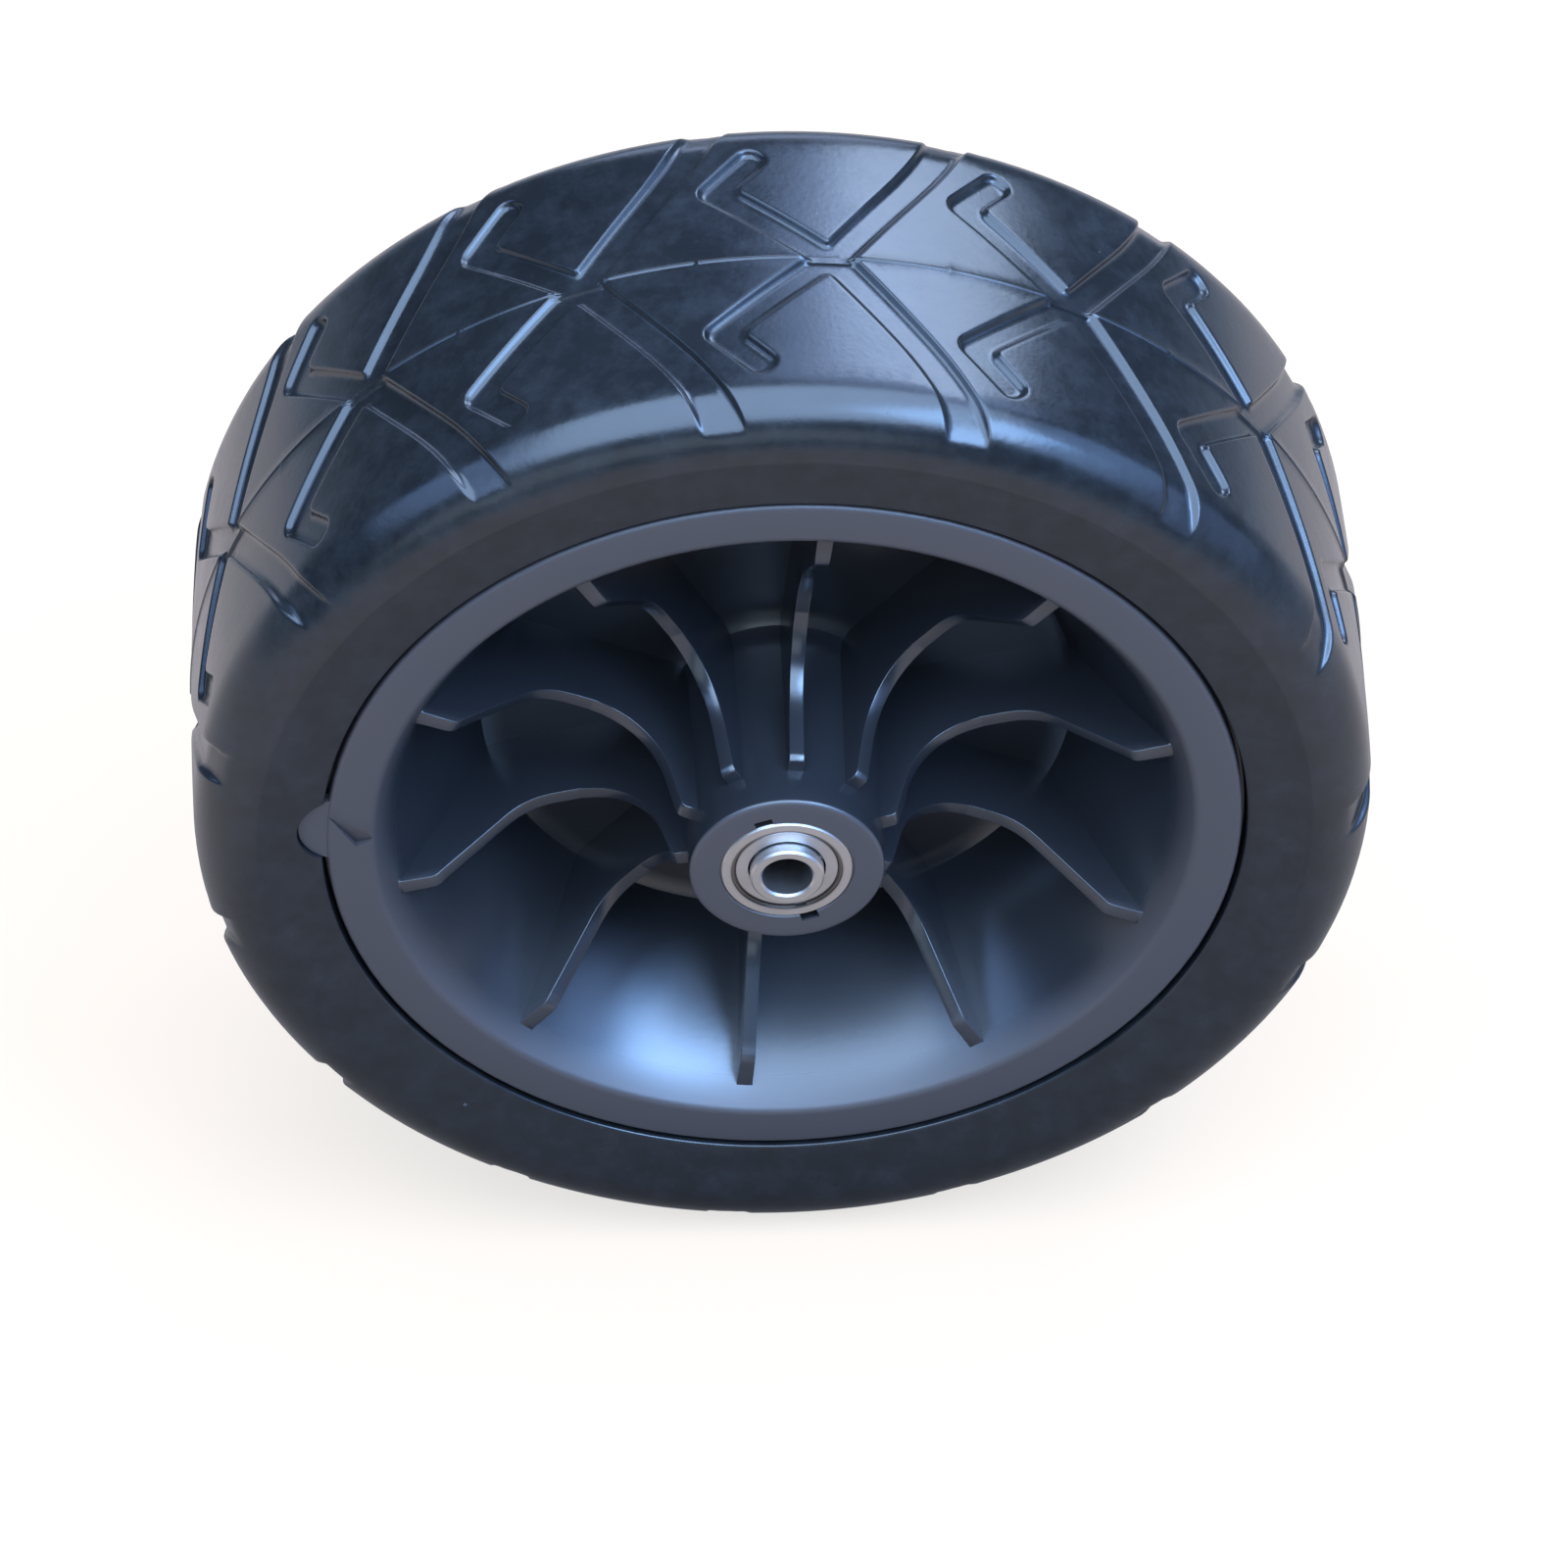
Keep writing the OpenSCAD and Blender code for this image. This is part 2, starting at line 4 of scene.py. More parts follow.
import bpy
import numpy as np
from mathutils import Matrix, Vector
from mathutils.geometry import delaunay_2d_cdt


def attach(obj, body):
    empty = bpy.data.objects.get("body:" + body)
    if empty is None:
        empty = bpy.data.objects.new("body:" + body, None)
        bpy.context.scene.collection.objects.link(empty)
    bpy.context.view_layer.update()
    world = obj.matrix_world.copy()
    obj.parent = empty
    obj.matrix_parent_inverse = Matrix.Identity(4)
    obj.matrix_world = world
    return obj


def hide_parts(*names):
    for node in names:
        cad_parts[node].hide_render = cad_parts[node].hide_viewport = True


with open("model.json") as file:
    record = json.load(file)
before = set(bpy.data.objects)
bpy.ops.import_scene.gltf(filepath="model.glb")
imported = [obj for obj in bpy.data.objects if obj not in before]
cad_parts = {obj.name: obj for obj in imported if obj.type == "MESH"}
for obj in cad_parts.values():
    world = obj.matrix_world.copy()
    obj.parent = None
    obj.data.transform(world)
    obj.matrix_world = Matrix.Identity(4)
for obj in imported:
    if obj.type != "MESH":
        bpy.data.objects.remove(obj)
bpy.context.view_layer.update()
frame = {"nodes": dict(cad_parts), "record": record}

# CAMERA
# The photograph looks down on the front face from far off, 45 degrees above the axle.
# The focal length and the dip of the aim are counted in pixels of its frame, which is 1600 wide.
MM = 0.001
frame_px = 1600
focal_px = 9249
dip_px = 76
sensor_w = 36
camera_distance = 1800 * MM
aim_point = Vector((1.5 * MM, 0, -6.2 * MM))
camera_height_angle = math.radians(45.43)
camera_swing = math.radians(-2.59)
camera_roll = math.radians(0.32)
camera_dip = math.atan(dip_px / focal_px)
sight = Vector((-math.sin(camera_swing) * math.cos(camera_height_angle),
                math.cos(camera_swing) * math.cos(camera_height_angle),
                -math.sin(camera_height_angle)))
level = Vector((math.cos(camera_swing), math.sin(camera_swing), 0))
upright = level.cross(sight)
camera_place = aim_point - camera_distance * sight
across = math.cos(camera_roll) * level + math.sin(camera_roll) * upright
above = across.cross(sight)
aim = math.cos(camera_dip) * sight - math.sin(camera_dip) * above
above = across.cross(aim)
camera = bpy.data.objects.new("camera", bpy.data.cameras.new("camera"))
camera.data.sensor_width = sensor_w
camera.data.lens = focal_px / frame_px * sensor_w
camera.data.clip_start = 0.1
camera.data.clip_end = 50
camera.matrix_world = Matrix((
    (across.x, above.x, -aim.x, camera_place.x),
    (across.y, above.y, -aim.y, camera_place.y),
    (across.z, above.z, -aim.z, camera_place.z),
    (0, 0, 0, 1)))
bpy.context.scene.collection.objects.link(camera)
bpy.context.scene.camera = camera
bpy.context.scene.view_settings.view_transform = "Standard"


# FLOOR AND LIGHT
# A pale floor that the camera sees as white, but for the wheel's shadow, and that gloss sees in softer
# painted tones of light and shade, with a painted shadow of the wheel next to it.
# Softboxes stand overhead, behind, at both sides and low in front of the wheel, in a dim room.
def new_material(name):
    """A material with an empty node tree."""
    material = bpy.data.materials.new(name)
    material.use_nodes = True
    material.node_tree.nodes.clear()
    return material


def add_node(tree, kind, **settings):
    """A new node, with its own settings, such as operation."""
    node = tree.nodes.new(kind)
    for name, value in settings.items():
        setattr(node, name, value)
    return node


def set_inputs(node, **values):
    """Sets a node's inputs by their names, with _ for a space, and gives the node back."""
    for name, value in values.items():
        node.inputs[name.replace("_", " ")].default_value = value
    return node


floor_z = -116 * MM
floor_half = 6
floor_mesh = bpy.data.meshes.new("floor")
floor_mesh.from_pydata([(-floor_half, -floor_half, floor_z), (floor_half, -floor_half, floor_z),
                        (floor_half, floor_half, floor_z), (-floor_half, floor_half, floor_z)],
                       [], [(0, 1, 2, 3)])
floor = bpy.data.objects.new("floor", floor_mesh)
bpy.context.scene.collection.objects.link(floor)

# What gloss sees of the floor: painted tones of light and shade, by distance in metres from the middle of the
# wheel.
gloss_reach = 2
# The darkest tones, nearest the wheel, are a painted shadow of the wheel.
painted_gloss_tones = ((0.1, (0.17, 0.18, 0.22)), (0.18, (0.42, 0.43, 0.48)), (0.27, (0.84, 0.8, 0.86)),
               (0.7, (0.8, 0.81, 0.9)), (1.1, (0.32, 0.46, 0.7)), (1.8, (0.2, 0.25, 0.3)))
paper_white = (1, 1, 0.985, 1)
floor_paint = new_material("pale_floor")
tree = floor_paint.node_tree
room_floor = set_inputs(add_node(tree, "ShaderNodeBsdfDiffuse"), Color=(0.2, 0.2, 0.2, 1))
# Gloss sees the floor as this glow: painted light and shade in place of the floor being lit.
painted_floor_glow = add_node(tree, "ShaderNodeEmission")
floor_place = add_node(tree, "ShaderNodeNewGeometry")
floor_way = add_node(tree, "ShaderNodeVectorMath", operation="LENGTH")
floor_fall = add_node(tree, "ShaderNodeValToRGB")
floor_fall.color_ramp.interpolation = "EASE"
for distance, tone in painted_gloss_tones:
    stop = floor_fall.color_ramp.elements.new(distance / gloss_reach)
    stop.color = (*tone, 1)
floor_fall.color_ramp.elements.remove(floor_fall.color_ramp.elements[0])
floor_fall.color_ramp.elements.remove(floor_fall.color_ramp.elements[-1])
floor_share = add_node(tree, "ShaderNodeMath", operation="DIVIDE")
floor_share.inputs[1].default_value = gloss_reach
seen_floor = set_inputs(add_node(tree, "ShaderNodeBsdfDiffuse"), Color=(0.21, 0.12, 0.07, 1))
floor_lift = set_inputs(add_node(tree, "ShaderNodeEmission"), Color=paper_white)
far_white = set_inputs(add_node(tree, "ShaderNodeMapRange"),
                       From_Min=0.4, From_Max=2.5, To_Min=0.72, To_Max=1)
lifted = add_node(tree, "ShaderNodeAddShader")
bounced = add_node(tree, "ShaderNodeMixShader")
chosen = add_node(tree, "ShaderNodeMixShader")
ray = add_node(tree, "ShaderNodeLightPath")
surface = add_node(tree, "ShaderNodeOutputMaterial")
tree.links.new(seen_floor.outputs[0], lifted.inputs[0])
tree.links.new(floor_lift.outputs[0], lifted.inputs[1])
tree.links.new(floor_place.outputs["Position"], floor_way.inputs[0])
tree.links.new(floor_way.outputs["Value"], far_white.inputs["Value"])
tree.links.new(far_white.outputs["Result"], floor_lift.inputs["Strength"])
tree.links.new(floor_way.outputs["Value"], floor_share.inputs[0])
tree.links.new(floor_share.outputs[0], floor_fall.inputs[0])
tree.links.new(floor_fall.outputs[0], painted_floor_glow.inputs["Color"])
tree.links.new(ray.outputs["Is Glossy Ray"], bounced.inputs[0])
tree.links.new(room_floor.outputs[0], bounced.inputs[1])
tree.links.new(painted_floor_glow.outputs[0], bounced.inputs[2])
tree.links.new(ray.outputs["Is Camera Ray"], chosen.inputs[0])
tree.links.new(bounced.outputs[0], chosen.inputs[1])
tree.links.new(lifted.outputs[0], chosen.inputs[2])
tree.links.new(chosen.outputs[0], surface.inputs[0])
floor_mesh.materials.append(floor_paint)

world = bpy.data.worlds.new("room")
bpy.context.scene.world = world
world.use_nodes = True
tree = world.node_tree
tree.nodes.clear()
seen_room = set_inputs(add_node(tree, "ShaderNodeBackground"), Color=paper_white, Strength=1)
dim_room = set_inputs(add_node(tree, "ShaderNodeBackground"), Color=(0.6, 0.76, 1, 1), Strength=0.04)
chosen = add_node(tree, "ShaderNodeMixShader")
ray = add_node(tree, "ShaderNodeLightPath")
surface = add_node(tree, "ShaderNodeOutputWorld")
tree.links.new(ray.outputs["Is Camera Ray"], chosen.inputs[0])
tree.links.new(dim_room.outputs[0], chosen.inputs[1])
tree.links.new(seen_room.outputs[0], chosen.inputs[2])
tree.links.new(chosen.outputs[0], surface.inputs[0])

light_distance = 2.2


def add_softbox(name, side, height, size, radiance):
    """A flat even light that faces the wheel, side degrees round from behind it and height degrees up."""
    side = math.radians(side)
    height = math.radians(height)
    way = Vector((math.cos(height) * math.sin(side), math.cos(height) * math.cos(side), math.sin(height)))
    lamp = bpy.data.lights.new(name, "AREA")
    lamp.shape = "RECTANGLE"
    lamp.size, lamp.size_y = size
    strongest = max(radiance)
    lamp.color = [part / strongest for part in radiance]
    lamp.energy = strongest * math.pi * size[0] * size[1]
    box = bpy.data.objects.new(name, lamp)
    box.location = light_distance * way
    box.rotation_euler = (-way).to_track_quat("-Z", "Y").to_euler()
    bpy.context.scene.collection.objects.link(box)


# Name, side, height, (width, depth) in metres, and brightness in red, green and blue.
add_softbox("overhead", 180, 76, (3.8, 2.9), (3.8, 5.6, 8.7))
add_softbox("rear_window", 26, 37, (0.85, 0.9), (4.9, 6.5, 9.3))
add_softbox("rear_wide", 30, 50, (1.6, 0.9), (1.5, 2.2, 4.0))
add_softbox("rear_low", 0, 12, (1.1, 0.7), (1.3, 1.6, 2.4))
add_softbox("right_side", 105, 36, (2.2, 1.0), (1.05, 1.9, 3.9))
add_softbox("right_high", 125, 52, (1.2, 0.9), (3.2, 6.5, 13))
add_softbox("right_low", 105, 12, (2.3, 0.8), (0.4, 0.6, 1.2))
add_softbox("left_side", 262, 34, (1.7, 0.9), (1.0, 1.7, 3.3))
add_softbox("front_low", 195, 13, (2.4, 0.85), (0.9, 1.1, 1.3))


# TYRE
# A solid tyre of black polyurethane, moulded round the rim, so it fills the rim's well.
# The grooves are shallow and soft-edged. A thin mould line runs round the middle of the tread.
tyre_r = 115.98
tyre_half_w = 43
crown_drop = 1.3
shoulder_r = 11
bead_edge_r = 90.3
bead_h = 41
flange_r = 89.4
seat_h = 36
grip_h = 37.2
well = (64.0, 2.5)
wall_top = (82.3, 36.0)
groove_depth = 1.4
line_h = 0.25
fade_from = 30
fade_to = 58
fade_middle = 0.62
tread_repeats = 15
tread_turn = math.radians(2.5)
pitch = 2 * math.pi * tyre_r / tread_repeats


def rounded(path, steps=8):
    """The path, of (x, y, corner radius), with its corners turned into arcs."""
    points = []
    for i, (x, y, r) in enumerate(path):
        b = np.array((x, y), float)
        if not r:
            points.append(b)
            continue
        u = np.array(path[i - 1][:2], float) - b
        v = np.array(path[i + 1][:2], float) - b
        u /= np.linalg.norm(u)
        v /= np.linalg.norm(v)
        half = math.acos(float(np.clip(u @ v, -1, 1))) / 2
        middle = (u + v) / np.linalg.norm(u + v)
        centre = b + middle * r / math.sin(half)
        first = b + u * r / math.tan(half) - centre
        last = b + v * r / math.tan(half) - centre
        start = math.atan2(first[1], first[0])
        turn = (math.atan2(last[1], last[0]) - start + 3 * math.pi) % (2 * math.pi) - math.pi
        for k in range(steps + 1):
            angle = start + turn * k / steps
            points.append(centre + r * np.array((math.cos(angle), math.sin(angle))))
    return np.array(points)


crown_k = (crown_drop - line_h) / tyre_half_w ** 2
shoulder_h = tyre_half_w - shoulder_r
join_h = shoulder_h
for _ in range(4):
    join_angle = math.atan(2 * crown_k * join_h)
    join_h = shoulder_h + shoulder_r * math.sin(join_angle)
shoulder_centre_r = tyre_r - line_h - crown_k * join_h ** 2 - shoulder_r * math.cos(join_angle)
tread_end = join_h + shoulder_r * (math.pi / 2 - join_angle)


def tread_surface(t):
    """Radius, height and outward slope angle of the smooth tyre, t mm from the middle line along it."""
    t = np.asarray(t, float)
    angle = np.where(t < join_h, np.arctan(2 * crown_k * t), join_angle + (t - join_h) / shoulder_r)
    r = np.where(t < join_h, tyre_r - line_h - crown_k * t ** 2,
                 shoulder_centre_r + shoulder_r * np.cos(angle))
    h = np.where(t < join_h, t, shoulder_h + shoulder_r * np.sin(angle))
    return r, h, angle


def along(h):
    """The way along the smooth tyre at which it has the height h."""
    if h <= join_h:
        return h
    return join_h + shoulder_r * (math.asin(min(1, (h - shoulder_h) / shoulder_r)) - join_angle)


# The outline of one hooked groove and one long groove, joined where they meet at the middle line.
# Its points are (way round the wheel, way out from the middle line, corner radius) in mm.
meet_len = 9.5
hook_w = 6.2
hook_leg = 28.5
hook_angle = math.radians(42.6)
hook_tip = 16.8
tip_angle = math.radians(49.5)
long_w = 8.2
long_lean = math.tan(math.radians(35.5))
bend_from = 20
bend_rate = 0.008
flare_from = 32
flare_rate = 0.04
long_heights = (8, 12, 16, 20, 24, 28, 31, 34, 37, 39, 41, 42.9)


def long_edge(h, side):
    """How far round an edge of the long groove lies at the height h, on the side -1 or 1 of its middle."""
    middle = meet_len - long_w / 2 + h * long_lean - bend_rate * max(0, h - bend_from) ** 2
    return middle + side * (long_w / 2 + flare_rate * max(0, h - flare_from))


hook_dir = np.array((-math.cos(hook_angle), math.sin(hook_angle)))
tip_dir = np.array((math.cos(tip_angle), math.sin(tip_angle)))
hook_in = np.array((math.sin(hook_angle), math.cos(hook_angle)))
tip_in = np.array((math.sin(tip_angle), -math.cos(tip_angle)))
hook_corner = hook_leg * hook_dir
hook_middle = (hook_in + tip_in) / np.linalg.norm(hook_in + tip_in)
hook_inner = hook_corner + hook_w / (hook_middle @ hook_in) * hook_middle
tip_end = hook_corner + hook_tip * tip_dir
tip_back = tip_end + hook_w * tip_in
fork_t = ((meet_len - long_w + hook_w * (math.cos(hook_angle) * long_lean - math.sin(hook_angle)))
          / (math.cos(hook_angle) + math.sin(hook_angle) * long_lean))
fork = hook_w * hook_in - fork_t * hook_dir
hook_corner_r = 3
tip_corner_r = 2.6
hook_inner_r = 1.5
fork_r = 0.6
groove_path = [(meet_len, -3, 0), (0, -3, 0), (0, 0, 0), (*hook_corner, hook_corner_r),
               (*tip_end, tip_corner_r), (*tip_back, tip_corner_r), (*hook_inner, hook_inner_r),
               (*fork, fork_r)]
groove_path += [(long_edge(h, -1), along(h), 0) for h in long_heights]
groove_path += [(long_edge(h, 1), along(h), 0) for h in (*reversed(long_heights), 4)]
groove_path += [(meet_len, 0, 0)]
groove_outline = rounded(groove_path, 5)


def inside_depth(points):
    """Distance of each point from the outline of the grooves, above nought inside them."""
    a = groove_outline
    b = np.roll(a, -1, axis=0)
    best = None
    for shifted in (-pitch, 0, pitch):
        for mirror in (1, -1):
            p = points * (1, mirror) - (shifted, 0)
            ab = b - a
            ap = p[:, None, :] - a[None]
            share = np.clip((ap * ab).sum(2) / (ab * ab).sum(1), 0, 1)
            gap = np.linalg.norm(ap - share[..., None] * ab, axis=2).min(1)
            crosses = (a[:, 1] > p[:, 1, None]) != (b[:, 1] > p[:, 1, None])
            with np.errstate(divide="ignore", invalid="ignore"):
                where = a[:, 0] + (p[:, 1, None] - a[:, 1]) * ab[:, 0] / ab[:, 1]
            inside = ((p[:, 0, None] < where) & crosses).sum(1) % 2 == 1
            signed = np.where(inside, gap, -gap)
            best = signed if best is None else np.maximum(best, signed)
    return best


# The groove's wall: its slope, as a share of the steepest, by the distance in mm inside the groove's outline.
wall_knots = np.array((-0.4, 0.2, 0.7, 1.6))
wall_slopes = np.array((0, 1, 0.3, 0))
wall_way = np.linspace(wall_knots[0], wall_knots[-1], 200)
wall_slope = np.interp((wall_way[1:] + wall_way[:-1]) / 2, wall_knots, wall_slopes)
wall_share = np.concatenate(((0,), np.cumsum(wall_slope)))
wall_share /= wall_share[-1]


def floor_depth(t):
    """Depth of the groove's floor, which is even over the crown and runs out on the shoulder."""
    angle = np.degrees(tread_surface(t)[2])
    spots = (fade_from, (fade_from + fade_to) / 2, fade_to)
    return np.interp(angle, spots, (groove_depth, fade_middle * groove_depth, 0))


# The mould line, and the flat strip that it leaves across a groove: a share of their height by the way from
# the middle line in mm.
mould_line = ((0, 1), (0.18, 0.9), (0.36, 0.2), (0.6, 0))
flash_strip = ((0, 1), (0.75, 1), (1.05, 0.1), (1.35, 0))
flash_h = 0.5


def tread_lift(points):
    """How far the tread stands over the smooth tyre: below nought in a groove, above it on the mould line."""
    in_groove = np.interp(inside_depth(points), wall_way, wall_share)
    way = np.abs(points[:, 1])
    ridge = np.interp(way, *zip(*mould_line)) * line_h
    strip = np.interp(way, *zip(*flash_strip)) * flash_h
    return ridge + (strip - ridge) * in_groove - floor_depth(way) * in_groove


def spaced(path, step):
    """The path with a point about every step mm, its own points kept."""
    out = []
    for a, b in zip(path[:-1], path[1:]):
        n = max(1, round(float(np.linalg.norm(b - a)) / step))
        out += [a + (b - a) * k / n for k in range(n)]
    return np.array(out + [path[-1]])


# One repeat of one half of the tread, bounded by a slanting line that no groove crosses.
slant = np.array([(-20, 0), (-20.1, 0.18), (-20.2, 0.36), (-20.3, 0.6), (-23.6, 19.3), (-19.5, 25.5),
                  (-15.5, 31), (-11, 38), (-8, tread_end)], float)
slant = spaced(slant, 3.2)
low_edge = np.concatenate((np.arange(-20, -4, 2.0), np.arange(-4, 14, 0.4), np.arange(14, pitch - 20, 2.0)))
low_edge = np.stack((low_edge, np.zeros(len(low_edge))), -1)
top_columns = 14
top_edge = np.stack((-8 + pitch * np.arange(top_columns + 1) / top_columns,
                     np.full(top_columns + 1, tread_end)), -1)
border = np.concatenate((low_edge, slant + (pitch, 0), top_edge[::-1][1:], slant[::-1][1:-1]))
points = [tuple(p) for p in border]
edges = [(i, (i + 1) % len(border)) for i in range(len(border))]

# Rings of points that follow the grooves' outline, each at one distance in from it and closest on the wall.
# A few steps along the slope of the distance bring every point to its level.
ring_levels = (-1.0, -0.5, -0.25, 0.0, 0.15, 0.35, 0.6, 1.0, 1.5, 2.0, 2.6)
nearest = 0.12
longest = 2.5
probe = 0.01
near_enough = 0.03
closed_outline = np.concatenate((groove_outline, groove_outline[:1]))
dense = spaced(closed_outline, 1.25)[:-1]
for level_d in ring_levels:
    ring = dense.copy()
    for _ in range(6):
        d = inside_depth(ring)
        grad = np.stack((inside_depth(ring + (probe, 0)) - d, inside_depth(ring + (0, probe)) - d), -1)
        grad /= probe
        grad /= np.maximum(np.linalg.norm(grad, axis=1), 0.3)[:, None]
        ring += grad * (level_d - d)[:, None]
    good = np.abs(inside_depth(ring) - level_d) < near_enough
    good &= (ring[:, 1] > 0.1) & (ring[:, 1] < tread_end - 0.3)
    last = None
    for i in range(len(ring) + 1):
        i %= len(ring)
        if not good[i]:
            last = None
            continue
        if last is not None and np.linalg.norm(ring[i] - points[last]) < nearest:
            continue
        points.append(tuple(ring[i]))
        if last is not None and np.linalg.norm(ring[i] - points[last]) < longest:
            edges.append((last, len(points) - 1))
        last = len(points) - 1

# Rows of points along the edges of the mould line and of its flat strip.
line_rows = [(height, -19.2, pitch - 20.8, 1.6) for height, _ in mould_line[1:]]
line_rows += [(height, -1.6, 12, 0.8) for height, _ in flash_strip[1:]]
for height, first, last, step in line_rows:
    row = np.arange(first, last, step)
    base = len(points)
    points += [(float(u), height) for u in row]
    edges += [(base + k, base + k + 1) for k in range(len(row) - 1)]

# Loose points over the rest, clear of the walls, in rows that are set off from each other.
fill_step = 3.5
clear_outside = 1.7
clear_inside = 3.1
rows = list(np.arange(3, join_h, 3.6)) + list(np.linspace(join_h, tread_end, 10)[:-1])
fill = []
for k, t in enumerate(rows):
    left = np.interp(t, slant[:, 1], slant[:, 0]) + fill_step * (0.35 if k % 2 else 0.75)
    fill += [(u, t) for u in np.arange(left, left + pitch - fill_step * 0.6, fill_step)]
fill = np.array(fill)
d = inside_depth(fill)
fill = fill[(d < -clear_outside) | (d > clear_inside)]
points += [tuple(p) for p in fill]

# The points become triangles, are lifted into the tread's relief and are wrapped round the axle.
flat, _, faces, *_ = delaunay_2d_cdt(
    [Vector(p) for p in points], edges, [list(range(len(border)))], 1, 1e-5)
flat = np.array([tuple(p) for p in flat])
lift = tread_lift(flat)
r, h, angle = tread_surface(flat[:, 1])
r = r + lift * np.cos(angle)
h = h + lift * np.sin(angle)
h[flat[:, 1] < 1e-6] = 0
turn = tread_turn + flat[:, 0] / tyre_r
tread_points = np.stack((r * np.sin(turn), -h, r * np.cos(turn)), -1)
tread_faces = [tuple(reversed(f)) for f in faces]

# The sidewall down to the rim, the lip beside the rim's edge, and the inner face on the rim's well.
sidewall_bend_r = 3
lip_r = 0.6
side_path = np.concatenate((
    spaced(rounded([(shoulder_centre_r, tyre_half_w, 0),
                    (shoulder_centre_r - 1.2, tyre_half_w, sidewall_bend_r),
                    (bead_edge_r, bead_h, lip_r),
                    (bead_edge_r, 38.0, 0)], 8), 0.8),
    rounded([(bead_edge_r, grip_h, 0.2), (flange_r, grip_h, 0),
             (flange_r, seat_h, 0), (*wall_top, 0), (*well, 0), (well[0], 0, 0)], 1)))
side_turn = tread_turn + top_edge[:, 0] / tyre_r
side_points = np.concatenate([
    np.stack((r * np.sin(side_turn), np.full(len(side_turn), -h), r * np.cos(side_turn)), -1)
    for r, h in side_path])
columns = top_columns + 1
side_faces = [(a + k, a + columns + k, a + columns + k + 1, a + k + 1)
              for a in range(0, (len(side_path) - 1) * columns, columns) for k in range(top_columns)]


def make_piece(name, coords, faces):
    """A new object from points in mm."""
    mesh = bpy.data.meshes.new(name)
    mesh.from_pydata([tuple(c * MM for c in p) for p in coords], [], faces)
    piece = bpy.data.objects.new(name, mesh)
    bpy.context.scene.collection.objects.link(piece)
    return piece


def repeat_round_tree():
    """Mirrors one cell of a wheel to the other side and repeats it round the axle."""
    tree = bpy.data.node_groups.new("repeat_round_axle", "GeometryNodeTree")
    tree.interface.new_socket("Cell", in_out="INPUT", socket_type="NodeSocketGeometry")
    tree.interface.new_socket("Repeats", in_out="INPUT", socket_type="NodeSocketInt")
    tree.interface.new_socket("Material", in_out="INPUT", socket_type="NodeSocketMaterial")
    tree.interface.new_socket("Wheel", in_out="OUTPUT", socket_type="NodeSocketGeometry")
    given = tree.nodes.new("NodeGroupInput")
    mirror = tree.nodes.new("GeometryNodeTransform")
    mirror.inputs["Scale"].default_value = (1, -1, 1)
    flip = tree.nodes.new("GeometryNodeFlipFaces")
    both = tree.nodes.new("GeometryNodeJoinGeometry")
    packed = tree.nodes.new("GeometryNodeGeometryToInstance")
    copies = add_node(tree, "GeometryNodeDuplicateElements", domain="INSTANCE")
    turn = add_node(tree, "ShaderNodeMath", operation="DIVIDE")
    turn.inputs[0].default_value = 2 * math.pi
    angle = add_node(tree, "ShaderNodeMath", operation="MULTIPLY")
    about_axle = tree.nodes.new("ShaderNodeCombineXYZ")
    spin = tree.nodes.new("GeometryNodeRotateInstances")
    real = tree.nodes.new("GeometryNodeRealizeInstances")
    weld = tree.nodes.new("GeometryNodeMergeByDistance")
    weld.inputs["Distance"].default_value = 0.002 * MM
    paint = tree.nodes.new("GeometryNodeSetMaterial")
    out = tree.nodes.new("NodeGroupOutput")
    link = tree.links.new
    link(given.outputs["Cell"], mirror.inputs["Geometry"])
    link(mirror.outputs[0], flip.inputs[0])
    link(flip.outputs[0], both.inputs[0])
    link(given.outputs["Cell"], both.inputs[0])
    link(both.outputs[0], packed.inputs[0])
    link(packed.outputs[0], copies.inputs["Geometry"])
    link(given.outputs["Repeats"], copies.inputs["Amount"])
    link(given.outputs["Repeats"], turn.inputs[1])
    link(copies.outputs["Duplicate Index"], angle.inputs[0])
    link(turn.outputs[0], angle.inputs[1])
    link(angle.outputs[0], about_axle.inputs["Y"])
    link(copies.outputs["Geometry"], spin.inputs["Instances"])
    link(about_axle.outputs[0], spin.inputs["Rotation"])
    link(spin.outputs[0], real.inputs[0])
    link(real.outputs[0], weld.inputs["Geometry"])
    link(weld.outputs[0], paint.inputs["Geometry"])
    link(given.outputs["Material"], paint.inputs["Material"])
    link(paint.outputs[0], out.inputs["Wheel"])
    return tree


wheel_repeat = repeat_round_tree()


def evaluated_mesh(piece):
    """The piece's mesh with its modifiers worked in, which are then taken off."""
    graph = bpy.context.evaluated_depsgraph_get()
    mesh = bpy.data.meshes.new_from_object(piece.evaluated_get(graph))
    piece.modifiers.clear()
    piece.data = mesh
    return mesh


def repeat_cell(piece, repeats, material):
    """Turns the object, one cell of half the wheel, into the whole ring."""
    piece.data.materials.append(material)
    modifier = piece.modifiers.new("round_the_axle", "NODES")
    modifier.node_group = wheel_repeat
    sockets = {s.name: s.identifier for s in wheel_repeat.interface.items_tree if s.in_out == "INPUT"}
    modifier[sockets["Repeats"]] = repeats
    modifier[sockets["Material"]] = material
    evaluated_mesh(piece)


def cut_or_join(piece, tool, operation):
    """Cuts a tool shape out of the piece, or joins it on, and deletes the tool."""
    tool.data.materials.append(piece.active_material)
    modifier = piece.modifiers.new(operation.lower(), "BOOLEAN")
    modifier.operation = operation
    modifier.solver = "EXACT"
    modifier.object = tool
    evaluated_mesh(piece)
    bpy.data.objects.remove(tool)


def smooth_to(piece, angle):
    """Shades the piece smooth, but for edges sharper than the angle in degrees."""
    piece.data.shade_smooth()
    piece.data.set_sharp_from_angle(angle=math.radians(angle))


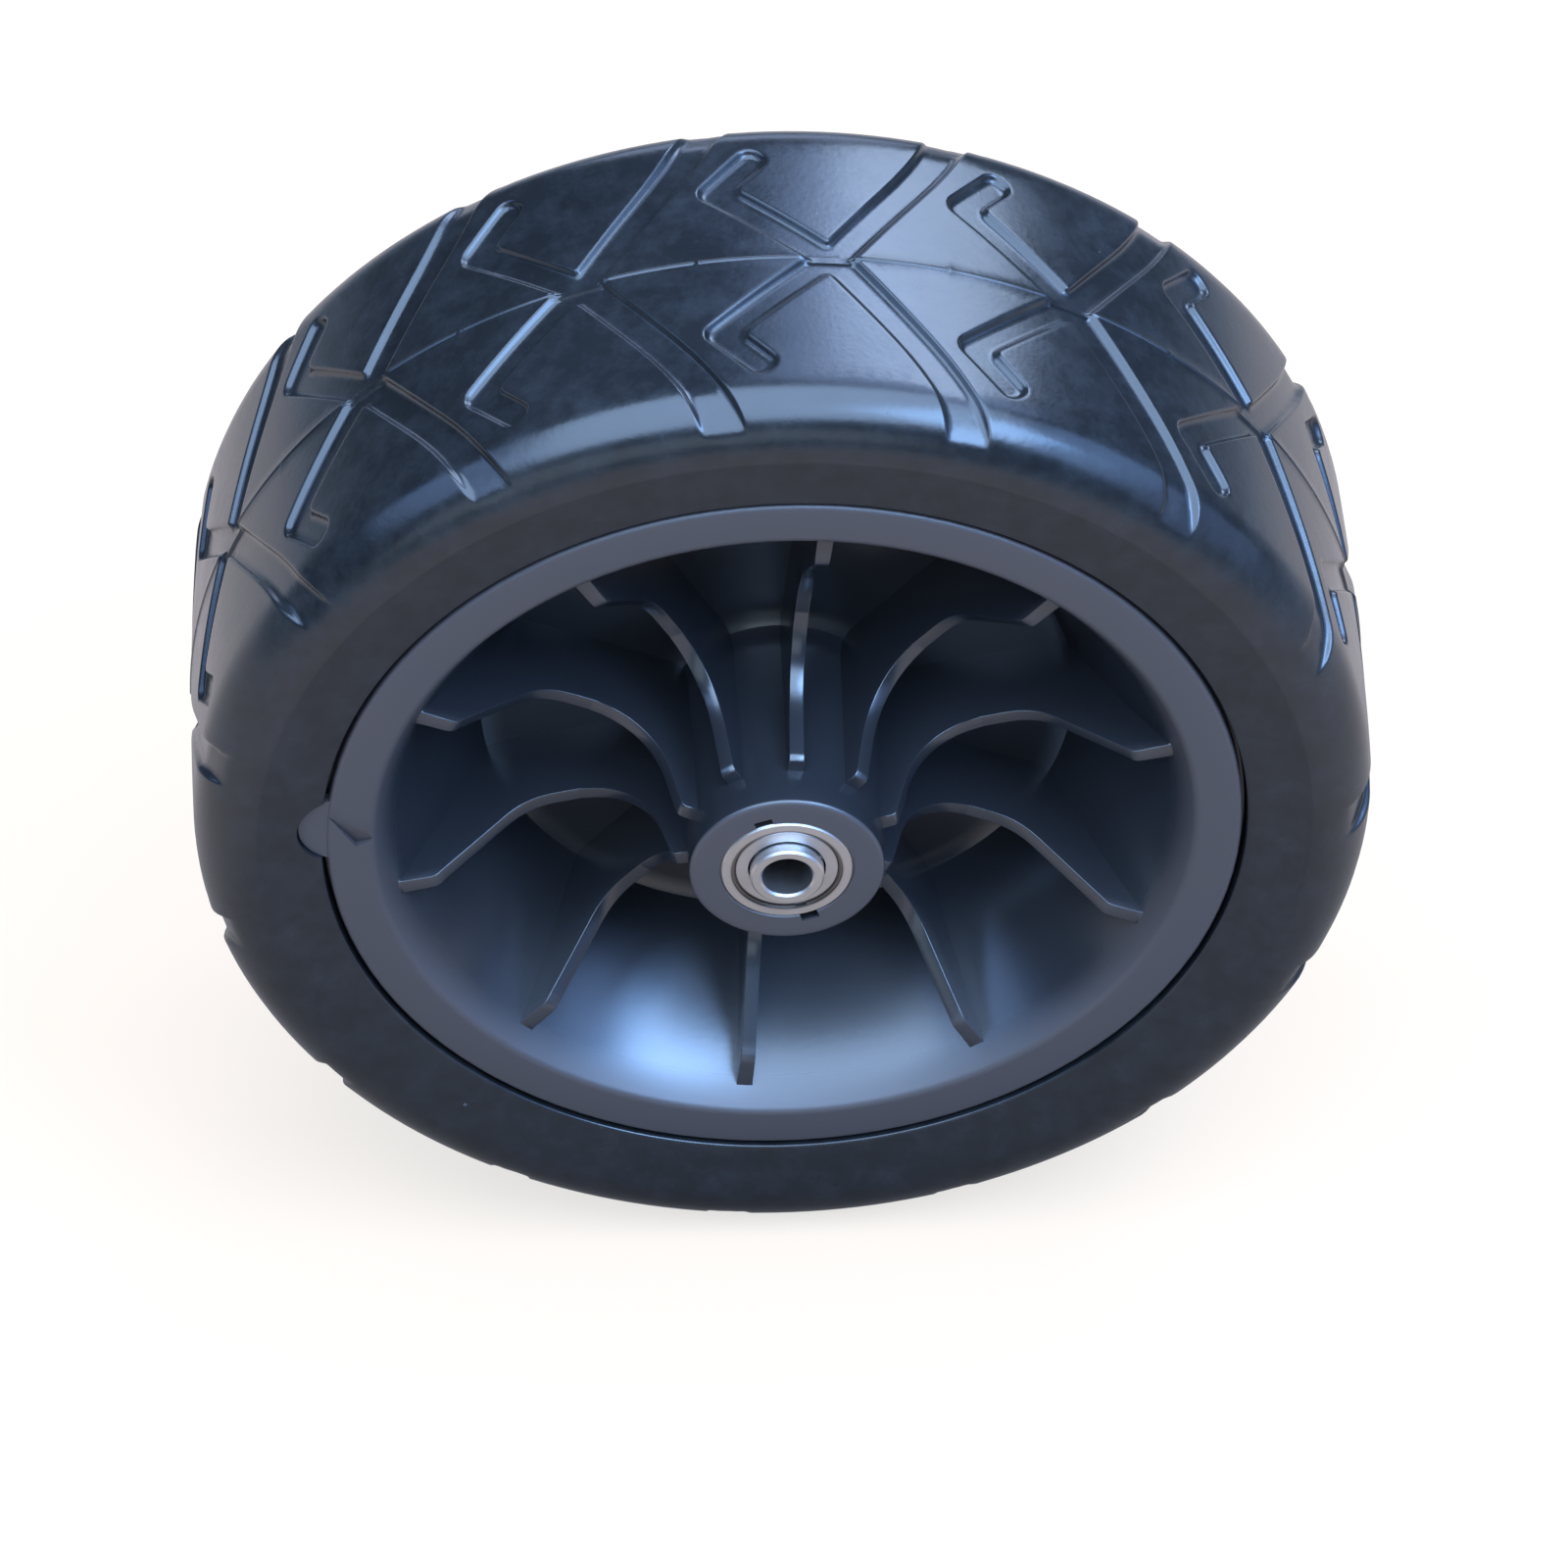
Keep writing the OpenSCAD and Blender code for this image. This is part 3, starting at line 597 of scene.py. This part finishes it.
def lathe_faces(rows, columns):
    """The faces between closed rows of points."""
    return [(a + k, a + (k + 1) % columns, a + columns + (k + 1) % columns, a + columns + k)
            for a in range(0, (rows - 1) * columns, columns) for k in range(columns)]


def make_disc(name, centre, radius, low, high, columns=96):
    """A plain round plug with its axis along the axle, from one height to another."""
    ring = [(radius * math.cos(2 * math.pi * k / columns), radius * math.sin(2 * math.pi * k / columns))
            for k in range(columns)]
    coords = [(centre[0] + x, -h, centre[1] + z) for h in (low, high) for x, z in ring]
    faces = lathe_faces(2, columns)
    faces += [tuple(reversed(range(columns))), tuple(range(columns, 2 * columns))]
    return make_piece(name, coords, faces)


def add_mix(tree, first=None, second=None):
    """A mix of two colours: its share is input 0, the colours are inputs 6 and 7, the result is output 2."""
    mix = add_node(tree, "ShaderNodeMix", data_type="RGBA")
    if first:
        mix.inputs[6].default_value = (*first, 1)
    if second:
        mix.inputs[7].default_value = (*second, 1)
    return mix


def tyre_rubber():
    """Black polyurethane, glossy in uneven patches, with a thin film of dust and a few crumbs of dirt."""
    material = new_material("black_polyurethane")
    tree = material.node_tree
    link = tree.links.new
    place = add_node(tree, "ShaderNodeTexCoord")
    shader = set_inputs(add_node(tree, "ShaderNodeBsdfPrincipled"), IOR=1.52)
    out = add_node(tree, "ShaderNodeOutputMaterial")
    grain = set_inputs(add_node(tree, "ShaderNodeTexNoise"), Scale=900, Detail=3)
    cloud = set_inputs(add_node(tree, "ShaderNodeTexNoise"), Scale=38, Detail=5, Roughness=0.62)
    rough = set_inputs(add_node(tree, "ShaderNodeMapRange"), To_Min=0.17, To_Max=0.28)
    tint = add_mix(tree, (0.006, 0.0065, 0.0075), (0.012, 0.0125, 0.013))
    bump = set_inputs(add_node(tree, "ShaderNodeBump"), Strength=0.12, Distance=0.2 * MM)
    film = set_inputs(add_node(tree, "ShaderNodeTexNoise"), Scale=120, Detail=7, Roughness=0.72)
    film_share = set_inputs(add_node(tree, "ShaderNodeMapRange"), From_Min=0.42, From_Max=0.85, To_Max=0.24)
    crumbs = set_inputs(add_node(tree, "ShaderNodeTexVoronoi"), Scale=110)
    crumb_size = set_inputs(add_node(tree, "ShaderNodeMapRange"),
                            From_Min=0.03, From_Max=0.06, To_Min=1, To_Max=0)
    crumb_pick = add_node(tree, "ShaderNodeSeparateColor")
    bare_share = 0.86
    few = add_node(tree, "ShaderNodeMath", operation="GREATER_THAN")
    few.inputs[1].default_value = bare_share
    crumb_share = add_node(tree, "ShaderNodeMath", operation="MULTIPLY")
    dust = add_node(tree, "ShaderNodeMath", operation="MAXIMUM")
    dusty_tint = add_mix(tree, second=(0.055, 0.058, 0.064))
    dust_roughness = 0.6
    dusty_rough = add_node(tree, "ShaderNodeMix")
    dusty_rough.inputs[3].default_value = dust_roughness
    for noise in (grain, cloud, film, crumbs):
        link(place.outputs["Object"], noise.inputs["Vector"])
    link(film.outputs["Fac"], film_share.inputs["Value"])
    link(crumbs.outputs["Distance"], crumb_size.inputs["Value"])
    link(crumbs.outputs["Color"], crumb_pick.inputs[0])
    link(crumb_pick.outputs[0], few.inputs[0])
    link(crumb_size.outputs["Result"], crumb_share.inputs[0])
    link(few.outputs[0], crumb_share.inputs[1])
    link(film_share.outputs["Result"], dust.inputs[0])
    link(crumb_share.outputs[0], dust.inputs[1])
    link(cloud.outputs["Fac"], rough.inputs["Value"])
    link(cloud.outputs["Fac"], tint.inputs[0])
    link(grain.outputs["Fac"], bump.inputs["Height"])
    link(dust.outputs[0], dusty_rough.inputs[0])
    link(dust.outputs[0], dusty_tint.inputs[0])
    link(rough.outputs["Result"], dusty_rough.inputs[2])
    link(tint.outputs[2], dusty_tint.inputs[6])
    link(dusty_rough.outputs[0], shader.inputs["Roughness"])
    link(dusty_tint.outputs[2], shader.inputs["Base Color"])
    link(bump.outputs["Normal"], shader.inputs["Normal"])
    link(shader.outputs[0], out.inputs[0])
    return material


tyre = make_piece("polyurethane_tyre", np.concatenate((tread_points, side_points)),
                  tread_faces + [tuple(i + len(tread_points) for i in f) for f in side_faces])
repeat_cell(tyre, tread_repeats, tyre_rubber())

# The pocket at the rim for the half-moon lug of the hub, with a little play round it.
lug_r = 8.0
lug_reach = 5.4
lug_turn = math.radians(-86.8)
lug_top = 40.4
lug_bottom = lug_top - 2.4
lug_play = 0.3
lug_way = flange_r + lug_reach - lug_r
lug_place = (lug_way * math.sin(lug_turn), lug_way * math.cos(lug_turn))
over_tyre_h = 46
pocket = make_disc("pocket_tool", lug_place, lug_r + lug_play, lug_bottom - lug_play, over_tyre_h)
cut_or_join(tyre, pocket, "DIFFERENCE")
smooth_to(tyre, 38)
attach(tyre, "wheel")
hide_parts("tyre")

# HUB
# One injection moulding in dark grey plastic: rim ring, dish, web, boss and ten vanes on each side.
# The vanes are thin plates with barely rounded edges. The mould leaves the ring and boss faces matt.
ring_h = 40.8
ring_in_r = 80.3
dish_floor_r = 58.5
web_h = 2.5
dish_slope = (ring_in_r - dish_floor_r) / (ring_h - web_h)
boss_h = 50.0
boss_face_r = 19.05
boss_draft = math.tan(math.radians(1.5))
seat_r = 13.0
seat_depth = 8.0
passage_r = 11.0
vane_count = 10
vane_turn = math.radians(5.7)
vane_half = 1.6
vane_thinning = 0.2
vane_edge_r = 0.2
land_h = 36.2
land_w = 7.5
valley_h = 19.4
foot_h = 41.7
foot_w = 3.1
climb_lean = math.radians(15)
land_slope = math.radians(42)
dish_bow = 1.0


def dish_r(h):
    """Radius of the dish at a height: a cone that is a little bowed, so it opens out faster near the rim."""
    share = (h - web_h) / (ring_h - web_h)
    return dish_floor_r + (h - web_h) * dish_slope - 4 * dish_bow * share * (1 - share)


def boss_r(h):
    """Radius of the boss at a height, with the draft that lets it out of the mould."""
    return boss_face_r + (boss_h - h) * boss_draft


def evenly(path, count):
    """The path as count points, the same way apart."""
    way = np.concatenate(((0,), np.cumsum(np.linalg.norm(np.diff(path, axis=0), axis=1))))
    at = np.linspace(0, way[-1], count)
    return np.stack((np.interp(at, way, path[:, 0]), np.interp(at, way, path[:, 1])), -1)


land_in_r = dish_r(land_h) - land_w
valley_out = land_in_r - (land_h - valley_h) / math.tan(land_slope)
foot_out_r = boss_r(foot_h) + foot_w
valley_in = foot_out_r + (foot_h - valley_h) * math.tan(climb_lean)

# The dish under a vane, from the boss out to the rim, and the vane's own edge over it, in step.
# The points are (radius, height, corner radius).
boss_low_h = 34
web_in_r = 26
web_out_r = 50
dish_mid_h = 27
boss_corner_r = 4
dish_corner_r = 3.5
dish_parts = [
    rounded([(boss_r(foot_h), foot_h, 0), (boss_r(boss_low_h), boss_low_h, 0)]),
    rounded([(boss_r(boss_low_h), boss_low_h, 0), (boss_r(web_h), web_h, boss_corner_r),
             (web_in_r, web_h, 0)], 6),
    rounded([(web_in_r, web_h, 0), (web_out_r, web_h, 0)]),
    rounded([(web_out_r, web_h, 0), (dish_r(web_h), web_h, dish_corner_r),
             *((dish_r(h), h, 0) for h in range(9, dish_mid_h + 1, 2))], 6),
    rounded([(dish_r(h), h, 0) for h in np.linspace(dish_mid_h, land_h, 13)]),
]
climb_top = (foot_out_r + 0.6, foot_h - 2.3, 0)
valley_from = (38, valley_h, 0)
valley_to = (42, valley_h, 0)
land_foot = (land_in_r - 1.4, land_h - 1.4, 0)
foot_corner_r = 1.2
climb_bend_r = 17
land_bend_r = 14
land_corner_r = 2
edge_parts = [
    rounded([(boss_r(foot_h), foot_h, 0), (foot_out_r, foot_h, foot_corner_r), climb_top], 4),
    rounded([climb_top, (valley_in, valley_h, climb_bend_r), valley_from], 8),
    rounded([valley_from, valley_to]),
    rounded([valley_to, (valley_out, valley_h, land_bend_r), land_foot], 8),
    rounded([land_foot, (land_in_r, land_h, land_corner_r), (dish_r(land_h), land_h, 0)], 4),
]
part_rows = (7, 15, 8, 17, 12)


def in_step(parts):
    """The parts of a path as one path, each part with its own number of evenly spaced points."""
    return np.concatenate([evenly(part, count)[(1 if i else 0):]
                           for i, (part, count) in enumerate(zip(parts, part_rows))])


under = in_step(dish_parts)
over = in_step(edge_parts)

# The bore, bearing seat and boss face before them, and the ring, rim edge and well after them.
seat_chamfer = 0.3
boss_edge_r = 0.9
inside_path = rounded([(passage_r, 0, 0), (passage_r, 20, 0), (passage_r, boss_h - seat_depth, 0),
                       (seat_r, boss_h - seat_depth, 0), (seat_r, boss_h - seat_chamfer, 0),
                       (seat_r + seat_chamfer, boss_h, 0), (16.5, boss_h, 0),
                       (boss_face_r, boss_h, boss_edge_r), (boss_r(46), 46, 0)], 4)
ring_inner_edge_r = 2.0
ring_outer_edge_r = 1.0
outside_path = rounded([(dish_r(37), 37, 0), (dish_r(38), 38, 0), (ring_in_r, ring_h, ring_inner_edge_r),
                        (85, ring_h, 0), (flange_r, ring_h, ring_outer_edge_r), (flange_r, seat_h, 0),
                        (*wall_top, 0), (*well, 0), (well[0], 0, 0)], 6)
base_rows = np.concatenate((inside_path, under, outside_path))
edge_rows = np.concatenate((inside_path, over, outside_path))

# Over a low vane the rounding and the thinning are smaller, so its sides never cross.
round_share = 0.3
full_vane_h = 10
surface_columns = 5
side_columns = 3
edge_columns = 3
sector = math.pi / vane_count


def hub_row(base, edge):
    """Half a row of the hub's cell: from midway between two vanes to the middle of a vane."""
    rise_way = edge - base
    tall = float(np.linalg.norm(rise_way))
    up = rise_way / tall if tall > 1e-6 else np.zeros(2)
    edge_round = min(vane_edge_r, round_share * tall)
    row = []
    near = math.asin(vane_half / base[0])
    for k in range(surface_columns):
        angle = sector + (near - sector) * k / surface_columns
        row.append((base[0] * math.sin(angle), base[0] * math.cos(angle), base[1]))
    spots = [(vane_half, 0)]
    top_half = vane_half - vane_thinning
    for k in range(1, side_columns + 1):
        share = k / side_columns
        n = (tall - edge_round) * share
        spots.append((vane_half + (top_half - vane_half) * share * min(1, tall / full_vane_h), n))
    last = spots[-1][0]
    for k in range(1, edge_columns + 1):
        a = math.pi / 2 * k / edge_columns
        spots.append((last - edge_round * (1 - math.cos(a)), tall - edge_round * (1 - math.sin(a))))
    spots.append((0, tall))
    for x, n in spots:
        r = math.sqrt(max(0.0, base[0] ** 2 - x ** 2))
        row.append((x, r + up[0] * n, base[1] + up[1] * n))
    return row


half_rows = [hub_row(b, e) for b, e in zip(base_rows, edge_rows)]
cell_rows = [row + [(-x, r, h) for x, r, h in reversed(row[:-1])] for row in half_rows]
hub_columns = len(cell_rows[0])
turn_cos = math.cos(vane_turn)
turn_sin = math.sin(vane_turn)
hub_points = [(x * turn_cos + r * turn_sin, -h, -x * turn_sin + r * turn_cos)
              for row in cell_rows for x, r, h in row]
hub_faces = [(a + k, a + hub_columns + k, a + hub_columns + k + 1, a + k + 1)
             for a in range(0, (len(cell_rows) - 1) * hub_columns, hub_columns)
             for k in range(hub_columns - 1)]


def add_axle_distance(tree, place):
    """A point's distance from the axle, and its place along it, out of Object coordinates."""
    parts = add_node(tree, "ShaderNodeSeparateXYZ")
    flat_place = add_node(tree, "ShaderNodeCombineXYZ")
    radius = add_node(tree, "ShaderNodeVectorMath", operation="LENGTH")
    tree.links.new(place.outputs["Object"], parts.inputs[0])
    tree.links.new(parts.outputs["X"], flat_place.inputs["X"])
    tree.links.new(parts.outputs["Z"], flat_place.inputs["Z"])
    tree.links.new(flat_place.outputs[0], radius.inputs[0])
    return radius.outputs["Value"], parts.outputs["Y"]


def hub_plastic():
    """Dark grey moulded plastic, smooth in the dish and matt and paler on the flat ring and boss faces."""
    material = new_material("dark_grey_plastic")
    tree = material.node_tree
    link = tree.links.new
    place = add_node(tree, "ShaderNodeTexCoord")
    shader = set_inputs(add_node(tree, "ShaderNodeBsdfPrincipled"), IOR=1.7)
    out = add_node(tree, "ShaderNodeOutputMaterial")
    grain = set_inputs(add_node(tree, "ShaderNodeTexNoise"), Scale=700, Detail=2)
    cloud = set_inputs(add_node(tree, "ShaderNodeTexNoise"), Scale=24, Detail=4, Roughness=0.55)
    rough = set_inputs(add_node(tree, "ShaderNodeMapRange"), To_Min=0.21, To_Max=0.28)
    tint = add_mix(tree, (0.0132, 0.0138, 0.0162), (0.0192, 0.0198, 0.022))
    bump = set_inputs(add_node(tree, "ShaderNodeBump"), Strength=0.1, Distance=0.1 * MM)
    from_axle, along_axle = add_axle_distance(tree, place)
    height = add_node(tree, "ShaderNodeMath", operation="ABSOLUTE")
    on_ring = set_inputs(add_node(tree, "ShaderNodeMapRange", interpolation_type="SMOOTHSTEP"),
                         From_Min=33 * MM, From_Max=40.7 * MM)
    web_edge = 60 * MM
    outside = add_node(tree, "ShaderNodeMath", operation="GREATER_THAN")
    outside.inputs[1].default_value = web_edge
    ring_face = add_node(tree, "ShaderNodeMath", operation="MULTIPLY")
    boss_face = set_inputs(add_node(tree, "ShaderNodeMapRange"), From_Min=49.2 * MM, From_Max=49.9 * MM)
    matt = add_node(tree, "ShaderNodeMath", operation="MAXIMUM")
    face_roughness = 0.5
    face_rough = add_node(tree, "ShaderNodeMix")
    face_rough.inputs[3].default_value = face_roughness
    face_tint = add_mix(tree)
    face_patch = add_mix(tree, (0.054, 0.038, 0.038), (0.04, 0.038, 0.038))
    link(along_axle, height.inputs[0])
    link(height.outputs[0], on_ring.inputs["Value"])
    link(height.outputs[0], boss_face.inputs["Value"])
    link(from_axle, outside.inputs[0])
    link(on_ring.outputs["Result"], ring_face.inputs[0])
    link(outside.outputs[0], ring_face.inputs[1])
    link(ring_face.outputs[0], matt.inputs[0])
    link(boss_face.outputs["Result"], matt.inputs[1])
    link(matt.outputs[0], face_rough.inputs[0])
    link(matt.outputs[0], face_tint.inputs[0])
    for noise in (grain, cloud):
        link(place.outputs["Object"], noise.inputs["Vector"])
    link(cloud.outputs["Fac"], rough.inputs["Value"])
    link(cloud.outputs["Fac"], tint.inputs[0])
    link(cloud.outputs["Fac"], face_patch.inputs[0])
    link(face_patch.outputs[2], face_tint.inputs[7])
    link(grain.outputs["Fac"], bump.inputs["Height"])
    link(rough.outputs["Result"], face_rough.inputs[2])
    link(tint.outputs[2], face_tint.inputs[6])
    link(face_rough.outputs[0], shader.inputs["Roughness"])
    link(face_tint.outputs[2], shader.inputs["Base Color"])
    link(bump.outputs["Normal"], shader.inputs["Normal"])
    link(shader.outputs[0], out.inputs[0])
    return material


hub = make_piece("moulded_hub", hub_points, hub_faces)
repeat_cell(hub, vane_count, hub_plastic())


def block_along(name, start, angle, length, width, low, high):
    """A block that runs from a point at an angle, counted clockwise from the top of the wheel."""
    way = np.array((math.sin(angle), math.cos(angle)))
    side = np.array((way[1], -way[0])) * width / 2
    corners = [start + side, start + way * length + side, start + way * length - side, start - side]
    coords = [(x, -h, z) for h in (low, high) for x, z in corners]
    return make_piece(name, coords, lathe_faces(2, 4) + [(3, 2, 1, 0), (4, 5, 6, 7)])


# The half-moon lug on the front ring, which sits in the tyre's pocket.
lug = make_disc("lug_tool", lug_place, lug_r, lug_bottom, lug_top, columns=128)
lug.data.materials.append(hub.active_material)
ring_middle = flange_r - 4.5
cut_or_join(lug, make_disc("ring_tool", (0, 0), ring_middle, 0, boss_h, columns=128), "DIFFERENCE")
cut_or_join(hub, lug, "UNION")

# The scoop in the ring beside the lug, three-cornered and deepest at its inner end.
scoop_len = 11.0
scoop_w = 5.0
scoop_depth = 1.5
scoop_lean = 56
scoop_overrun = 0.4
scoop_turn = lug_turn + math.radians(3)
scoop_start = (flange_r + scoop_overrun) * np.array((math.sin(scoop_turn), math.cos(scoop_turn)))
scoop_angle = lug_turn + math.radians(180 + scoop_lean)
scoop_way = np.array((math.sin(scoop_angle), math.cos(scoop_angle)))
scoop_side = np.array((-scoop_way[1], scoop_way[0]))
scoop_end = scoop_start + scoop_way * scoop_len
scoop_far = scoop_end + scoop_side * scoop_w
top_h = ring_h + 1
scoop_points = [(x, -h, z) for (x, z), h in (
    (scoop_start, top_h), (scoop_end, top_h), (scoop_far, top_h),
    (scoop_start, ring_h), (scoop_end, ring_h - scoop_depth), (scoop_far, ring_h))]
scoop_faces = [(0, 1, 2), (5, 4, 3), (3, 4, 1, 0), (4, 5, 2, 1), (5, 3, 0, 2)]
cut_or_join(hub, make_piece("scoop_tool", scoop_points, scoop_faces), "DIFFERENCE")

# Two small notches in the edge of each bearing seat.
notch_turn = math.radians(-19)
notch_depth = 2.5
notch_len = 2.7
notch_w = 3.6
for low, high in ((boss_h - notch_depth, boss_h + 1), (-boss_h - 1, notch_depth - boss_h)):
    for turn in (notch_turn, notch_turn + math.pi):
        start = (seat_r - 1) * np.array((math.sin(turn), math.cos(turn)))
        notch = block_along("notch_tool", start, turn, notch_len, notch_w, low, high)
        cut_or_join(hub, notch, "DIFFERENCE")
smooth_to(hub, 32)
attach(hub, "wheel")
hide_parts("hub")


# BEARING RINGS
# An outer and an inner ring for each bearing, of hardened and ground steel. The outer rings are pressed into
# the boss. Like every bearing part and the tube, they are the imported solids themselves, in bare steel.
def bare_steel(name, colour, roughness, seam_shade=0.0):
    """Bare steel with faint stains, and painted shade in the seam between the inner ring and the shield."""
    material = new_material(name)
    tree = material.node_tree
    link = tree.links.new
    place = add_node(tree, "ShaderNodeTexCoord")
    shader = set_inputs(add_node(tree, "ShaderNodeBsdfPrincipled"), Metallic=1)
    out = add_node(tree, "ShaderNodeOutputMaterial")
    cloud = set_inputs(add_node(tree, "ShaderNodeTexNoise"), Scale=160, Detail=4)
    rough = set_inputs(add_node(tree, "ShaderNodeMapRange"), To_Min=roughness - 0.05, To_Max=roughness + 0.07)
    from_axle, _ = add_axle_distance(tree, place)
    # The seam between the inner ring and the shield is darkened here: painted shade.
    seam_in = set_inputs(add_node(tree, "ShaderNodeMapRange"),
                         From_Min=9.6 * MM, From_Max=10.3 * MM, To_Max=seam_shade)
    seam_out = set_inputs(add_node(tree, "ShaderNodeMapRange"),
                          From_Min=10.9 * MM, From_Max=11.3 * MM, To_Min=1, To_Max=0.1)
    seam = add_node(tree, "ShaderNodeMath", operation="MULTIPLY")
    stain = set_inputs(add_node(tree, "ShaderNodeMapRange"),
                       From_Min=0.35, From_Max=0.65, To_Min=0.05, To_Max=0.16)
    # The darker of the stains and the painted shade in the seam.
    dirt = add_node(tree, "ShaderNodeMath", operation="MAXIMUM")
    tint = add_mix(tree, colour, (0.09, 0.07, 0.055))
    link(place.outputs["Object"], cloud.inputs["Vector"])
    link(from_axle, seam_in.inputs["Value"])
    link(from_axle, seam_out.inputs["Value"])
    link(seam_in.outputs["Result"], seam.inputs[0])
    link(seam_out.outputs["Result"], seam.inputs[1])
    link(cloud.outputs["Fac"], stain.inputs["Value"])
    link(seam.outputs[0], dirt.inputs[0])
    link(stain.outputs["Result"], dirt.inputs[1])
    link(dirt.outputs[0], tint.inputs[0])
    link(tint.outputs[2], shader.inputs["Base Color"])
    link(cloud.outputs["Fac"], rough.inputs["Value"])
    link(rough.outputs["Result"], shader.inputs["Roughness"])
    link(shader.outputs[0], out.inputs[0])
    return material


def dress(slot, material):
    """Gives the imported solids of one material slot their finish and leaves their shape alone."""
    for part in frame["record"]["subparts"]:
        if part["material_slot"] == slot:
            solid = frame["nodes"][part["node"]]
            solid.data.materials.clear()
            solid.data.materials.append(material)


dress("ring_steel", bare_steel("ground_steel", (0.63, 0.6, 0.58), roughness=0.36, seam_shade=0.5))

# CAGES, SHIELDS AND SNAP RINGS
# Thin parts of bright steel. Each cage is pressed in two halves that rivets join round the balls, and each
# shield is held in the outer ring by a snap ring.
dress("sheet_steel", bare_steel("pressed_sheet", (0.59, 0.565, 0.55), roughness=0.4, seam_shade=0.8))

# BALLS
# Seven polished steel balls in each bearing, which run between its two rings.
dress("ball_steel", bare_steel("polished_steel", (0.8, 0.8, 0.8), roughness=0.1))

# SPACER TUBE
# A plain length of drawn steel tube between the two inner rings, which keeps them apart on the axle.
# Its steel is dark from oxide, and darker still as painted shade inside the bore.
dress("spacer", bare_steel("drawn_tube_oxide_and_shade", (0.28, 0.28, 0.28), roughness=0.5))
